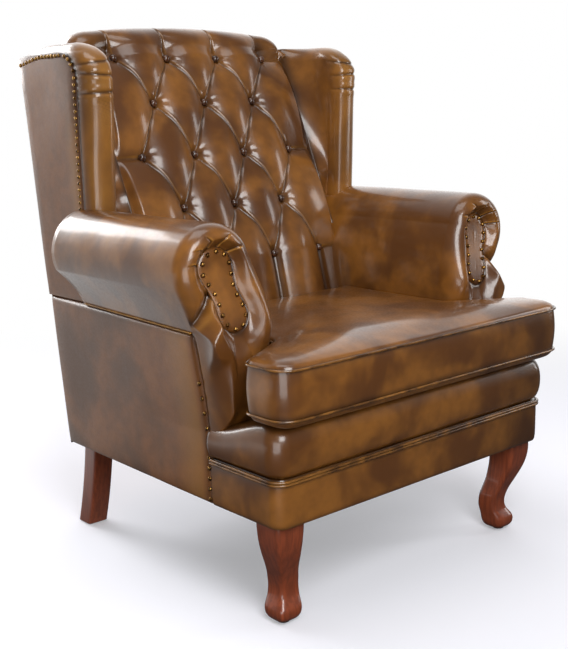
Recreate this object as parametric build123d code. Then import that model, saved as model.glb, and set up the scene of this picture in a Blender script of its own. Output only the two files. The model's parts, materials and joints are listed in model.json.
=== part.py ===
from build123d import *
import math
import os

# Wingback chair in buttoned leather. Millimetres, +Z up. The chair faces -Y, and X runs to the
# right as seen from the front. The origin is on the floor, under the middle of the whole chair.

# Overall sizes
chair_depth = 836.0
base_width = 720.0
leg_height = 198.0
band_height = 87.0
edge_roll_height = 90.0
base_setback = 39.0
back_overhang = 106.0
outside_rake_angle = 6.74
cover_thickness = 6.0
overrun = 5.0

# Seat frame of beech rails
rail_thickness = 25.0
dust_cover_thickness = 2.0
border_padding = 13.0
corner_block_side = 95.0
corner_block_height = 60.0

# Legs
leg_block = 62.0
front_leg_inset_x = 56.0
front_leg_inset_y = 61.0
knee_reach = 8.0
leg_round = 8.0
rear_leg_side = 46.0
rear_leg_inset_x = 60.0
rear_leg_splay = 47.0
rear_leg_bow = 5.0
leg_back_clearance = 1.0
bolt_diameter = 8.0
bolt_depth_in_leg = 45.0
bolt_depth_in_block = 50.0
glide_diameter = 22.0
glide_height = 3.0

# Border round the front: flat band, double welt and stuffed edge roll
border_length = 181.0
corner_radius = 38.0
edge_roll_depth = 80.0
edge_roll_proud = 6.0
edge_roll_round = 32.0
edge_roll_under_round = 10.0
stump_bottom_drop = 45.0
welt_diameter = 5.0
welt_sides = 6

# Arms
arm_inner_half_gap = 240.0
arm_top_height = 701.0
arm_roll_radius = 79.0
arm_roll_centre_x = 348.0
roll_under_angle = -25.0
roll_top_angle = 70.0
roll_inner_angle = 165.0
arm_front_setback = 200.0
arm_front_round = 20.0
front_round_shares = ((0.0, 0.0), (0.62, 0.25), (1.0, 1.0))
seam_height = 515.0
seam_flare_front = 28.0
seam_flare_rear = 3.0
side_flare_mid_share = 0.6
base_taper = 7.0
arm_bend_height = 500.0
arm_bend_bulge = 4.0
board_thickness = 22.0
board_inset = 15.0
arm_rail_width = 50.0
arm_rail_thickness = 22.0
arm_rail_under_top = 90.0
tack_rail_height = 40.0
tack_rail_thickness = 20.0
facing_thickness = 4.0
facing_head_radius = 42.0
facing_head_x = 347.0
facing_head_z = 612.0
facing_tail_radius = 20.0
facing_tail_x = 312.0
facing_tail_z = 532.0

# Back and wings
post_width = 45.0
post_height_above_floor = 985.0
back_rail_height = 60.0
lower_rail_height = 50.0
lower_rail_floor_height = 400.0
wing_post_front_y = 165.0
wing_post_width = 40.0
wing_top_height = 1004.0
wing_panel_top_drop = 12.0
wing_panel_front_y = 188.0
wing_panel_half_width = 359.0
wing_roll_thickness = 60.0
wing_front_y_low = 150.0
wing_front_y_high = 131.0
wing_corner_round = 34.0
wing_low_height = 640.0
side_seam_half_width = 262.0
crest_height = 1066.0
crest_end_height = 1016.0
crest_half_width = 345.0
crest_front_y = 297.0
crest_top_share = 0.55
crest_sections = 12
crest_flats = 4
strap_width = 50.0
strap_thickness = 2.0
strap_count = 5

# Deep buttoning of the inside back: five rows of 4, 3, 4, 3 and 4 buttons
button_pitch = 132.5
lowest_button_height = 573.0
row_gaps = (112.0, 105.0, 108.0, 93.0)
lowest_button_y = 122.0
inside_rake_angle = 23.9
lower_rake_angle = 14.0
tuft_depth = 30.0
pleat_share = 0.75
tuft_side_share = 0.7
outer_column = 3
steps_per_row = 3
below_row_shares = (-1.0, -0.6, -0.3)
side_step_share = 0.5
button_diameter = 17.0
button_height = 7.0
button_shank_diameter = 3.0
button_sides = 8

# Room between soft pieces that only lie against each other
soft_clearance = 0.3

# Loose seat cushion
cushion_seam_height = 91.0
cushion_crown = 23.0
cushion_base_round = 5.0
cushion_ear_width = 378.0
cushion_ear_clearance = 4.0
cushion_ear_slant = 85.0
cushion_corner_radius = 45.0
cushion_tip_radius = 16.0
cushion_notch_radius = 22.0
cushion_rear_radius = 25.0
cushion_side_clearance = 1.0
cushion_back_clearance = 3.0
cushion_base_inset = 8.0
cushion_waist = 2.0
cushion_waist_height = 10.0
cushion_crown_insets = (14.0, 36.0)
cushion_crown_share = 0.6
cushion_corner_flats = 5
cushion_skin = 3.0
zip_length = 420.0
zip_height = 8.0
zip_depth = 2.0
slider_length = 22.0
slider_wall = 2.0
slider_gap = 0.4

# Springs under the seat deck
spring_count = 5
spring_pitch_x = 92.0
spring_wire = 4.0
spring_loop_width = 44.0
spring_loops = 11
clip_width = 16.0
clip_depth = 7.0
clip_height = 12.0

# Nails
nail_diameter = 10.0
nail_height = 3.5
nail_sides = 6
stud_crown_share = 0.6
band_nail_pitch = 21.0
side_nail_pitch = 28.0
side_nail_top_height = 424.0
wing_nail_pitch = 13.0
wing_nail_inset = 6.0
scroll_nail_inset = 7.0
scroll_nail_count = 18

# The middle of a quarter round lies this share of its radius in from each side of its corner.
quarter_round_share = 1 - math.sqrt(0.5)

# Places that follow from the sizes
front_y = -chair_depth / 2
rear_y = chair_depth / 2
half_base = base_width / 2
base_front_y = front_y + base_setback
base_rear_y = rear_y - back_overhang
band_top_z = leg_height + band_height
deck_z = band_top_z + edge_roll_height
rail_bottom_z = leg_height + dust_cover_thickness
rail_x = half_base - border_padding
rail_inner_x = rail_x - rail_thickness
rail_front_y = base_front_y + border_padding
rail_back_of_front_y = rail_front_y + rail_thickness
nail_line_y = base_front_y + border_length
outside_slope = math.tan(math.radians(outside_rake_angle))
inside_slope = math.tan(math.radians(inside_rake_angle))
lower_slope = math.tan(math.radians(lower_rake_angle))
arm_front_y = front_y + arm_front_setback
arm_roll_centre_z = arm_top_height - arm_roll_radius
arm_rear_y = wing_panel_front_y
wing_post_back_y = wing_post_front_y + wing_post_width
lower_rail_top_z = lower_rail_floor_height + lower_rail_height
spring_top_z = band_top_z - spring_wire
welt_half_flat = welt_diameter / 2 * math.cos(math.pi / welt_sides)
welt_reach = welt_half_flat + soft_clearance
welt_room = welt_reach + welt_half_flat
stump_bottom_z = deck_z - stump_bottom_drop
flare_middle_z = stump_bottom_z + (seam_height - stump_bottom_z) * side_flare_mid_share
row_heights = [lowest_button_height]
for gap in row_gaps:
    row_heights.append(row_heights[-1] + gap)


def outside_back_y(z, inset=0.0):
    """The leaning rear face of the chair at height z, or a plane that far inside it."""
    return base_rear_y + (z - leg_height) * outside_slope - inset


def box(x0, x1, y0, y1, z0, z1):
    """A block between two corners."""
    return Solid.make_box(x1 - x0, y1 - y0, z1 - z0, Plane(origin=(x0, y0, z0)))


def side_prism(points, x0, x1):
    """A side outline of (y, z) points, as thick as from x0 to x1."""
    face = Face(Wire.make_polygon([Vector(x0, y, z) for y, z in points]))
    return Solid.extrude(face, Vector(x1 - x0, 0, 0))


def plan_prism(points, z0, z1):
    """A plan outline of (x, y) points, as high as from z0 to z1."""
    face = Face(Wire.make_polygon([Vector(x, y, z0) for x, y in points]))
    return Solid.extrude(face, Vector(0, 0, z1 - z0))


def other_side(shape):
    """The left-hand piece that matches a right-hand one."""
    return shape.mirror(Plane.YZ)


def both_sides(shapes):
    """A group of right-hand solids with their left-hand copies."""
    return Compound(children=[*shapes, *[other_side(shape) for shape in shapes]])


def carve(pad, pieces):
    """A pad with the room for the pieces that it is stuffed over cut out of it."""
    for piece in pieces:
        pad = pad - piece
    return pad


def patch(corners, flat):
    """The face between four corners, or two three-cornered ones where the four aren't in a plane."""
    if flat:
        return [Face(Wire.make_polygon(corners))]
    a, b, c, d = corners
    return [Face(Wire.make_polygon([a, b, c])), Face(Wire.make_polygon([a, c, d]))]


def stacked(lines, flat=True, hoop=False):
    """A solid between closed lines of points, each joined to the next by narrow faces. It is shut
    by its first and last line, or as a hoop joins the last line to the first."""
    faces = []
    pairs = list(zip(lines, lines[1:]))
    if hoop:
        pairs.append((lines[-1], lines[0]))
    else:
        faces += [Face(Wire.make_polygon(lines[0])), Face(Wire.make_polygon(lines[-1]))]
    for low, high in pairs:
        for k in range(len(low)):
            faces += patch([low[k - 1], low[k], high[k], high[k - 1]], flat)
    return Solid(Shell(faces))


def ring(plane, radius, height, sides):
    """Corners of a regular polygon round the axis of a plane, at a height above it."""
    turns = [2 * math.pi * k / sides for k in range(sides)]
    return [
        plane.from_local_coords(Vector(radius * math.cos(turn), radius * math.sin(turn), height))
        for turn in turns
    ]


nodes = {}


def keep(name, shape):
    """Keep a finished piece under its name."""
    nodes[name] = shape


def keep_pair(name, shape):
    """Keep a right-hand piece and its mirror image."""
    keep(name + "_right", shape)
    keep(name + "_left", other_side(shape))


# Seat frame
front_rail = box(-rail_inner_x, rail_inner_x, rail_front_y, rail_back_of_front_y, rail_bottom_z, band_top_z)


def leaning_rail(x0, x1, z0, z1, depth):
    """A rail that follows the rear face, as deep as given."""
    points = [
        (outside_back_y(z0, cover_thickness) - depth, z0),
        (outside_back_y(z0, cover_thickness), z0),
        (outside_back_y(z1, cover_thickness), z1),
        (outside_back_y(z1, cover_thickness) - depth, z1),
    ]
    return side_prism(points, x0, x1)


rear_rail = leaning_rail(-rail_inner_x, rail_inner_x, rail_bottom_z, band_top_z, rail_thickness)
side_rail = side_prism(
    [
        (rail_front_y, rail_bottom_z),
        (outside_back_y(rail_bottom_z, cover_thickness), rail_bottom_z),
        (outside_back_y(band_top_z, cover_thickness), band_top_z),
        (rail_front_y, band_top_z),
    ],
    rail_inner_x,
    rail_x,
)
keep("front_rail", front_rail)
keep("rear_rail", rear_rail)
keep_pair("side_rail", side_rail)

rear_rail_front_y = outside_back_y(rail_bottom_z, cover_thickness) - rail_thickness
front_leg_x = half_base - front_leg_inset_x
front_leg_y = base_front_y + front_leg_inset_y
rear_leg_x = half_base - rear_leg_inset_x
rear_leg_top_y = outside_back_y(leg_height, cover_thickness) - rear_leg_side / 2 - leg_back_clearance


def corner_block(corner_y, inward):
    """A three-cornered block in the angle of two rails, whose free sides point inward."""
    return plan_prism(
        [
            (rail_inner_x, corner_y),
            (rail_inner_x - corner_block_side, corner_y),
            (rail_inner_x, corner_y + inward * corner_block_side),
        ],
        rail_bottom_z,
        rail_bottom_z + corner_block_height,
    )


def upright_rod(x, y, z0, z1, diameter):
    """A round rod that stands at x, y."""
    return Solid.make_cylinder(diameter / 2, z1 - z0, Plane(origin=(x, y, z0)))


bolt_bottom_z = rail_bottom_z - bolt_depth_in_leg
bolt_top_z = rail_bottom_z + bolt_depth_in_block
rear_bolt_y = rear_rail_front_y - bolt_diameter
bolts = [
    upright_rod(front_leg_x, front_leg_y, bolt_bottom_z, bolt_top_z, bolt_diameter),
    upright_rod(rear_leg_x, rear_bolt_y, bolt_bottom_z, bolt_top_z, bolt_diameter),
]
blocks = [
    corner_block(rail_back_of_front_y, 1) - bolts[0],
    corner_block(rear_rail_front_y, -1) - bolts[1],
]
keep("leg_bolts", both_sides(bolts))
keep("corner_blocks", both_sides(blocks))

# Cabriole front legs. The leg is sawn from a square block with one pattern on two of its faces,
# so that its knee and toe point out along the diagonal, and its four corners are then rounded.
# Each row of shares is (outward reach in leg blocks, height in leg heights).
leg_front_line_shares = (
    ((0.50, 1.0), (0.56, 0.84), (0.38, 0.63)),
    ((0.38, 0.63), (0.17, 0.45), (0.09, 0.31)),
    ((0.09, 0.31), (0.16, 0.21), (0.33, 0.135)),
    ((0.33, 0.135), (0.36, 0.07), (0.20, 0.0)),
)
leg_back_line_shares = (
    ((-0.20, 0.0), (-0.43, 0.05), (-0.47, 0.16)),
    ((-0.47, 0.16), (-0.53, 0.28), (-0.46, 0.42)),
    ((-0.46, 0.42), (-0.34, 0.58), (-0.32, 0.75)),
    ((-0.32, 0.75), (-0.35, 0.87), (-0.42, 1.0)),
)


def leg_pattern(reach, height, across):
    """The sawn outline of the leg, as a wire in the upright plane of the direction across."""

    def place(share):
        u = share[0] * reach + share[1] * knee_reach
        return Vector(across.X * u, across.Y * u, glide_height + share[1] * height)

    front = [Edge.make_three_point_arc(*[place(share) for share in arc]) for arc in leg_front_line_shares]
    back = [Edge.make_three_point_arc(*[place(share) for share in arc]) for arc in leg_back_line_shares]
    sole = Edge.make_line(front[-1] @ 1, back[0] @ 0)
    head = Edge.make_line(back[-1] @ 1, front[0] @ 0)
    return Wire([*front, sole, *back, head])


def sawn(outline, direction, length):
    """The outline carried both ways along a direction."""
    face = Face(outline).translate(direction * (-length))
    return Solid.extrude(face, direction * (2 * length))


leg_saw_height = rail_bottom_z - glide_height
along_x = Vector(1, 0, 0)
along_y = Vector(0, -1, 0)
diagonal = (along_x + along_y).normalized()
square_leg = sawn(leg_pattern(leg_block, leg_saw_height, along_x), along_y, leg_block)
square_leg = square_leg & sawn(leg_pattern(leg_block, leg_saw_height, along_y), along_x, leg_block)
rounding = leg_pattern(leg_block * math.sqrt(2) - leg_round, leg_saw_height, diagonal)
across_diagonal = Vector(diagonal.Y, -diagonal.X, 0)
square_leg = square_leg & sawn(rounding, across_diagonal, leg_block)
front_leg = square_leg.translate(Vector(front_leg_x, front_leg_y, 0)) - bolts[0]
keep_pair("front_leg", front_leg)

# Rear legs, square and swept back
rear_leg_back_y = rear_leg_top_y + rear_leg_side / 2
rear_leg_middle_y = rear_leg_back_y + rear_leg_splay / 2 - rear_leg_bow
rear_leg_back = [
    Vector(0, rear_leg_back_y, rail_bottom_z),
    Vector(0, rear_leg_middle_y, (rail_bottom_z + glide_height) / 2),
    Vector(0, rear_leg_back_y + rear_leg_splay, glide_height),
]
rear_leg_front = [point - Vector(0, rear_leg_side, 0) for point in rear_leg_back]
rear_leg_outline = Wire(
    [
        Edge.make_three_point_arc(*rear_leg_back),
        Edge.make_line(rear_leg_back[2], rear_leg_front[2]),
        Edge.make_three_point_arc(rear_leg_front[2], rear_leg_front[1], rear_leg_front[0]),
        Edge.make_line(rear_leg_front[0], rear_leg_back[0]),
    ]
)
rear_leg = sawn(rear_leg_outline, along_x, rear_leg_side / 2)
rear_leg = rear_leg.translate(Vector(rear_leg_x, 0, 0)) - bolts[1]
keep_pair("rear_leg", rear_leg)
rear_foot_y = rear_leg_top_y + rear_leg_splay
glides = [
    upright_rod(front_leg_x, front_leg_y, 0, glide_height, glide_diameter),
    upright_rod(rear_leg_x, rear_foot_y, 0, glide_height, glide_diameter),
]
keep("foot_glides", both_sides(glides))

# Springs and dust cover
clip_front_y = rail_back_of_front_y + clip_depth
spring_rear_y = outside_back_y(spring_top_z, cover_thickness) - rail_thickness
clip_rear_y = spring_rear_y - clip_depth


def zigzag_spring(x):
    """A sinuous spring of square wire: one bent outline, half a loop to each side in turn."""
    step = (clip_rear_y - clip_front_y) / (2 * spring_loops)
    right_side, left_side = [], []
    for turn in range(2 * spring_loops + 1):
        if turn in (0, 2 * spring_loops):
            side = 0.0
        else:
            side = spring_loop_width / 2 * (1 if turn % 2 else -1)
        y = clip_front_y + turn * step
        right_side.append((x + side + spring_wire / 2, y))
        left_side.append((x + side - spring_wire / 2, y))
    return plan_prism(right_side + left_side[::-1], spring_top_z - spring_wire, spring_top_z)


def spring_clip(x, y0, y1):
    """A clip on the inner face of a rail, against which a spring ends."""
    return box(x - clip_width / 2, x + clip_width / 2, y0, y1, spring_top_z - clip_height, spring_top_z)


springs, clips = [], []
for number in range(spring_count):
    x = (number - (spring_count - 1) / 2) * spring_pitch_x
    springs.append(zigzag_spring(x))
    clips.append(spring_clip(x, rail_back_of_front_y, clip_front_y))
    clips.append(spring_clip(x, clip_rear_y, spring_rear_y) - rear_rail)
keep("seat_springs", Compound(children=springs))
keep("spring_clips", Compound(children=clips))

dust_cover = plan_prism(
    [
        (-rail_x, rail_front_y),
        (rail_x, rail_front_y),
        (rail_x, outside_back_y(leg_height, cover_thickness)),
        (-rail_x, outside_back_y(leg_height, cover_thickness)),
    ],
    leg_height,
    rail_bottom_z,
)
leg_tops = [front_leg, rear_leg, *bolts]
dust_cover = carve(dust_cover, [*leg_tops, *[other_side(piece) for piece in leg_tops]])
keep("dust_cover", dust_cover)

# Posts and rails of the back, the wings and the arms
back_post = leaning_rail(rail_inner_x, rail_x, band_top_z, post_height_above_floor, post_width)
top_rail_bottom_z = post_height_above_floor - back_rail_height
back_top_rail = leaning_rail(
    -rail_inner_x, rail_inner_x, top_rail_bottom_z, post_height_above_floor, rail_thickness
)
back_lower_rail = box(
    -rail_inner_x,
    rail_inner_x,
    wing_post_front_y,
    wing_post_front_y + rail_thickness,
    lower_rail_floor_height,
    lower_rail_top_z,
)
wing_post = box(
    rail_inner_x, rail_x, wing_post_front_y, wing_post_back_y, band_top_z, post_height_above_floor
)
wing_top_rail = side_prism(
    [
        (wing_post_back_y, top_rail_bottom_z),
        (outside_back_y(top_rail_bottom_z, cover_thickness) - post_width, top_rail_bottom_z),
        (outside_back_y(post_height_above_floor, cover_thickness) - post_width, post_height_above_floor),
        (wing_post_back_y, post_height_above_floor),
    ],
    rail_inner_x,
    rail_x,
)
keep_pair("back_post", back_post)
keep("back_top_rail", back_top_rail)
keep("back_lower_rail", back_lower_rail)
keep_pair("wing_post", wing_post)
keep_pair("wing_top_rail", wing_top_rail)


def seam_x(y):
    """How far out the seam under the arm roll lies, which draws in towards the rear."""
    front = half_base + seam_flare_front
    rear = half_base - base_taper + seam_flare_rear
    share = (y - nail_line_y) / (base_rear_y - nail_line_y)
    return front + (rear - front) * share


def on_roll(angle, y, inset):
    """A point of the arm roll's round, at an angle from straight out."""
    turn = math.radians(angle)
    radius = arm_roll_radius - inset
    return Vector(
        arm_roll_centre_x + radius * math.cos(turn), y, arm_roll_centre_z + radius * math.sin(turn)
    )


def arm_outline(y, inset, foot):
    """The scroll outline of the arm at y, with a list of (x, z) foot points from the seam inwards."""
    outer = on_roll(roll_under_angle, y, inset)
    crown = on_roll(roll_top_angle, y, inset)
    inner = on_roll(roll_inner_angle, y, inset)
    bend = Vector(arm_inner_half_gap + inset, y, arm_bend_height)
    belly = (inner + bend) * 0.5 - Vector(arm_bend_bulge, 0, 0)
    edges = [
        Edge.make_three_point_arc(outer, on_roll((roll_under_angle + roll_top_angle) / 2, y, inset), crown),
        Edge.make_three_point_arc(crown, on_roll((roll_top_angle + roll_inner_angle) / 2, y, inset), inner),
        Edge.make_three_point_arc(inner, belly, bend),
    ]
    corners = [bend] + [Vector(x, y, z) for x, z in foot[::-1]] + [outer]
    for first, second in zip(corners, corners[1:]):
        edges.append(Edge.make_line(first, second))
    return Wire(edges)


def stump_outline(y, inset):
    """The padded front of the arm: scroll above, stump below, down to the edge roll."""
    inner = arm_inner_half_gap + inset
    foot = [
        (seam_x(nail_line_y) - inset, seam_height),
        (half_base + seam_flare_front * side_flare_mid_share - inset, flare_middle_z),
        (half_base - inset, stump_bottom_z),
        (inner, stump_bottom_z),
    ]
    return arm_outline(y, inset, foot)


def inner_outline(y, inset, bottom_z):
    """The arm behind its front: the roll, with its inner side down on the rail."""
    foot = [
        (seam_x(y) - inset, seam_height),
        (rail_x, seam_height),
        (rail_x, bottom_z),
        (arm_inner_half_gap + inset, bottom_z),
    ]
    return arm_outline(y, inset, foot)


arm_front_sections = [
    stump_outline(
        nail_line_y + (arm_front_y - nail_line_y) * reach_share, arm_front_round * inset_share
    )
    for reach_share, inset_share in front_round_shares
]
arm_front_pad = Solid.make_loft(arm_front_sections, ruled=True)
arm_main_pad = Solid.make_loft(
    [inner_outline(nail_line_y, 0, band_top_z), inner_outline(arm_rear_y, 0, band_top_z)], ruled=True
)
board_back_y = nail_line_y + board_thickness
arm_front_board = Solid.extrude(
    Face(inner_outline(nail_line_y, board_inset, band_top_z)), Vector(0, board_thickness, 0)
)
arm_rail_top_z = arm_top_height - arm_rail_under_top
arm_rail = box(
    rail_x - arm_rail_width,
    rail_x,
    board_back_y,
    wing_post_front_y,
    arm_rail_top_z - arm_rail_thickness,
    arm_rail_top_z,
)
tack_rail_x = side_seam_half_width
arm_tack_rail = box(
    tack_rail_x,
    tack_rail_x + tack_rail_thickness,
    board_back_y,
    wing_post_front_y,
    lower_rail_floor_height,
    lower_rail_floor_height + tack_rail_height,
)
keep_pair("arm_front_board", arm_front_board)
keep_pair("arm_rail", arm_rail)
keep_pair("arm_tack_rail", arm_tack_rail)


# Inside back, deep buttoned
def button_plane_y(z):
    """The plane that the buttons are pulled to, steeper below the lowest row."""
    rise = z - lowest_button_height
    return lowest_button_y + rise * (inside_slope if rise > 0 else lower_slope)


top_rail_front_y = outside_back_y(post_height_above_floor, cover_thickness) - rail_thickness
strap_top_y = top_rail_front_y - strap_thickness
strap_low_y = wing_post_front_y - strap_thickness
strap_slope = (strap_top_y - strap_low_y) / (post_height_above_floor - lower_rail_top_z)


def strap_y(z):
    """The front of the webbing, where the back pad rests."""
    return strap_low_y + max(z - lower_rail_top_z, 0.0) * strap_slope


straps = []
strap_gap = 2 * side_seam_half_width / strap_count
for number in range(strap_count):
    x = (number - (strap_count - 1) / 2) * strap_gap
    points = [
        (strap_low_y, lower_rail_floor_height),
        (wing_post_front_y, lower_rail_floor_height),
        (wing_post_front_y, lower_rail_top_z),
        (top_rail_front_y, post_height_above_floor),
        (strap_top_y, post_height_above_floor),
        (strap_low_y, lower_rail_top_z),
    ]
    straps.append(side_prism(points, x - strap_width / 2, x + strap_width / 2))
keep("back_webbing", Compound(children=straps))

half_pitch = button_pitch / 2
last_row = len(row_gaps)


def tuft_height(column, row):
    """How far the leather stands proud: a diamond pillow between buttons, with a pleat on each
    line between two of them. Buttons are where column + row is odd. Outside the buttons the
    pleats run straight to the edge."""
    side = max(abs(column) - outer_column, 0.0)
    end = max(row - last_row, -row, 0.0)
    column = max(-outer_column, min(outer_column, column))
    row = max(0.0, min(last_row, row))
    rising = abs(math.sin(math.pi * (column + row + 1) / 2))
    falling = abs(math.sin(math.pi * (column - row + 1) / 2))
    height = pleat_share * (rising + falling) / 2 + (1 - pleat_share) * rising * falling
    corner = math.sin(math.pi / 2 * min(side, 1.0)) * math.sin(math.pi / 2 * min(end, 1.0))
    return tuft_depth * (height + corner) * (1 - (1 - tuft_side_share) * min(side, 1.0) ** 2)


def row_height(row):
    """The height of a row of the net, whole at each row of buttons."""
    whole = min(int(row), last_row - 1)
    return row_heights[whole] + (row - whole) * row_gaps[whole]


outer_step = outer_column * steps_per_row
inner_columns = [number / steps_per_row for number in range(-outer_step, outer_step + 1)]
side_column = side_seam_half_width / half_pitch
side_middle = outer_column + (side_column - outer_column) * side_step_share
columns = [-side_column, -side_middle, *inner_columns, side_middle, side_column]

# Each row of the net is (its row number for the tufts, its height)
back_bottom_z = deck_z
net_rows = [(below_row_shares[0], back_bottom_z), (below_row_shares[0], lower_rail_top_z)]
for share in below_row_shares[1:]:
    net_rows.append((share, lowest_button_height + share * row_gaps[0]))
for number in range(last_row * steps_per_row + 1):
    net_rows.append((number / steps_per_row, row_height(number / steps_per_row)))
top_row_share = (wing_top_height - row_heights[-1]) / row_gaps[-1]
net_rows.append((last_row + top_row_share, wing_top_height))


def net_point(column, row, z):
    """A point of the buttoned leather."""
    bottom_share = 0.0 if z <= lower_rail_top_z else 1.0
    proud = tuft_height(column, row) * bottom_share
    return Vector(column * half_pitch, button_plane_y(z) - proud, z)


def buttoned_back():
    """The pad of the inside back, closed by flat faces at its sides, ends and rear."""
    net = [[net_point(column, row, z) for column in columns] for row, z in net_rows]
    faces = []
    for j in range(len(net) - 1):
        for i in range(len(columns) - 1):
            low_left, low_right = net[j][i], net[j][i + 1]
            high_left, high_right = net[j + 1][i], net[j + 1][i + 1]
            column = (columns[i] + columns[i + 1]) / 2
            row = (net_rows[j][0] + net_rows[j + 1][0]) / 2
            on_falling = abs(math.sin(math.pi * (column + row + 1) / 2))
            on_rising = abs(math.sin(math.pi * (column - row + 1) / 2))
            corners = [low_left, low_right, high_right, high_left]
            if on_rising >= on_falling:
                corners = corners[1:] + corners[:1]
            faces += patch(corners, False)
    rear = [[Vector(side * side_seam_half_width, strap_y(z), z) for _, z in net_rows] for side in (-1, 1)]
    for j in range(len(net) - 1):
        faces.append(Face(Wire.make_polygon([rear[0][j], rear[1][j], rear[1][j + 1], rear[0][j + 1]])))
        for side, edge in ((0, 0), (1, -1)):
            corners = [net[j][edge], rear[side][j], rear[side][j + 1], net[j + 1][edge]]
            faces.append(Face(Wire.make_polygon(corners)))
    for j in (0, -1):
        faces.append(Face(Wire.make_polygon([*net[j], rear[1][j], rear[0][j]])))
    return Solid(Shell(faces))


tufted_back = buttoned_back()
keep("tufted_back", tufted_back)


def studded(centre, outward, diameter, height, sides):
    """A small domed head as a faceted stud: wide at its seat, narrow at its top."""
    seat = Plane(origin=centre, z_dir=outward)
    wide = ring(seat, diameter / 2, 0, sides)
    narrow = ring(seat, diameter / 2 * stud_crown_share, height, sides)
    return stacked([wide, narrow])


rake_turn = math.radians(inside_rake_angle)
button_outward = Vector(0, -math.cos(rake_turn), math.sin(rake_turn))
next_step = 1 / steps_per_row
pit_slope = tuft_height(1 + next_step, 0) / (half_pitch * next_step)


def back_button(column, row, z):
    """A covered button on its shank, with its rim on the sides of the dimple that it pulls."""
    lift = pit_slope * button_diameter / 2 + soft_clearance
    root = pit_slope * button_shank_diameter / 2 + soft_clearance
    dimple = Vector(column * half_pitch, button_plane_y(z), z)
    head = studded(
        dimple + button_outward * lift, button_outward, button_diameter, button_height, button_sides
    )
    foot = Plane(origin=dimple + button_outward * root, z_dir=button_outward)
    shank_lines = [ring(foot, button_shank_diameter / 2, height, button_sides) for height in (0, lift - root)]
    return head + stacked(shank_lines)


buttons = [
    back_button(column, row, z)
    for row, z in enumerate(row_heights)
    for column in range(-outer_column, outer_column + 1)
    if (column + row) % 2
]
keep("back_buttons", Compound(children=buttons))

back_envelope = side_prism(
    [
        (button_plane_y(back_bottom_z) - tuft_depth, back_bottom_z),
        (rear_y, back_bottom_z),
        (rear_y, wing_top_height),
        (button_plane_y(wing_top_height) - tuft_depth, wing_top_height),
        (button_plane_y(lowest_button_height) - tuft_depth, lowest_button_height),
    ],
    -side_seam_half_width,
    side_seam_half_width,
)

# Crest of the back: a stuffed roll over the top rail, arched across the chair
crest_rear_y = outside_back_y(wing_top_height)


def crest_section(share):
    """A cross-section of the crest: flat below, a quarter round up and a quarter round down."""
    x = crest_half_width * share
    top_z = crest_height - (crest_height - crest_end_height) * share ** 2
    top_y = crest_front_y + (rear_y - crest_front_y) * crest_top_share
    front_y_here = crest_front_y + (top_y - crest_front_y) * share ** 4 / 2
    rear_z = wing_top_height + (top_z - wing_top_height) / 2
    points = [Vector(x, crest_rear_y, wing_top_height)]
    for step in range(crest_flats + 1):
        turn = math.pi / 2 * step / crest_flats
        y = top_y - (top_y - front_y_here) * math.cos(turn)
        points.append(Vector(x, y, wing_top_height + (top_z - wing_top_height) * math.sin(turn)))
    for step in range(1, crest_flats + 1):
        turn = math.pi / 2 * step / crest_flats
        y = top_y + (rear_y - top_y) * math.sin(turn)
        points.append(Vector(x, y, rear_z + (top_z - rear_z) * math.cos(turn)))
    return points


crest_bow_shares = [2 * number / crest_sections - 1 for number in range(crest_sections + 1)]
crest_roll = stacked([crest_section(share) for share in crest_bow_shares], flat=False)
keep("crest_roll", crest_roll)

outside_back = side_prism(
    [
        (outside_back_y(leg_height, cover_thickness), leg_height),
        (outside_back_y(leg_height), leg_height),
        (outside_back_y(wing_top_height), wing_top_height),
        (outside_back_y(wing_top_height, cover_thickness), wing_top_height),
    ],
    base_taper - half_base,
    half_base - base_taper,
)
keep("outside_back", outside_back)

# Side panels
panel_top_z = wing_top_height - wing_panel_top_drop
outside_wing = side_prism(
    [
        (wing_panel_front_y, seam_height),
        (outside_back_y(seam_height, cover_thickness), seam_height),
        (outside_back_y(panel_top_z, cover_thickness), panel_top_z),
        (wing_panel_front_y, panel_top_z),
    ],
    rail_x,
    wing_panel_half_width,
)
keep_pair("outside_wing", outside_wing)


def side_panel_section(y, low_x, flare):
    """A cross-section of the outside arm at y: straight below, leaning out to the seam."""
    outline = [
        (rail_x, leg_height),
        (low_x, leg_height),
        (low_x, stump_bottom_z),
        (low_x + flare * side_flare_mid_share, flare_middle_z),
        (low_x + flare, seam_height),
        (rail_x, seam_height),
    ]
    return Wire.make_polygon([Vector(x, y, z) for x, z in outline])


outside_arm = Solid.make_loft(
    [
        side_panel_section(nail_line_y, half_base, seam_flare_front),
        side_panel_section(base_rear_y, half_base - base_taper, seam_flare_rear),
    ],
    ruled=True,
)
rear_strip = side_prism(
    [
        (base_rear_y, leg_height),
        (outside_back_y(seam_height), leg_height),
        (outside_back_y(seam_height), seam_height),
        (base_rear_y, seam_height),
    ],
    rail_x,
    half_base - base_taper,
)
behind_back = side_prism(
    [
        (outside_back_y(leg_height, cover_thickness), leg_height - overrun),
        (rear_y, leg_height - overrun),
        (rear_y, seam_height + overrun),
        (outside_back_y(seam_height, cover_thickness), seam_height + overrun),
        (outside_back_y(leg_height, cover_thickness), leg_height),
    ],
    rail_x - overrun,
    half_base,
)
outside_arm = (outside_arm + rear_strip) - behind_back
keep_pair("outside_arm", outside_arm)

# Wings
wing_inner_x = wing_panel_half_width - wing_roll_thickness


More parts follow.
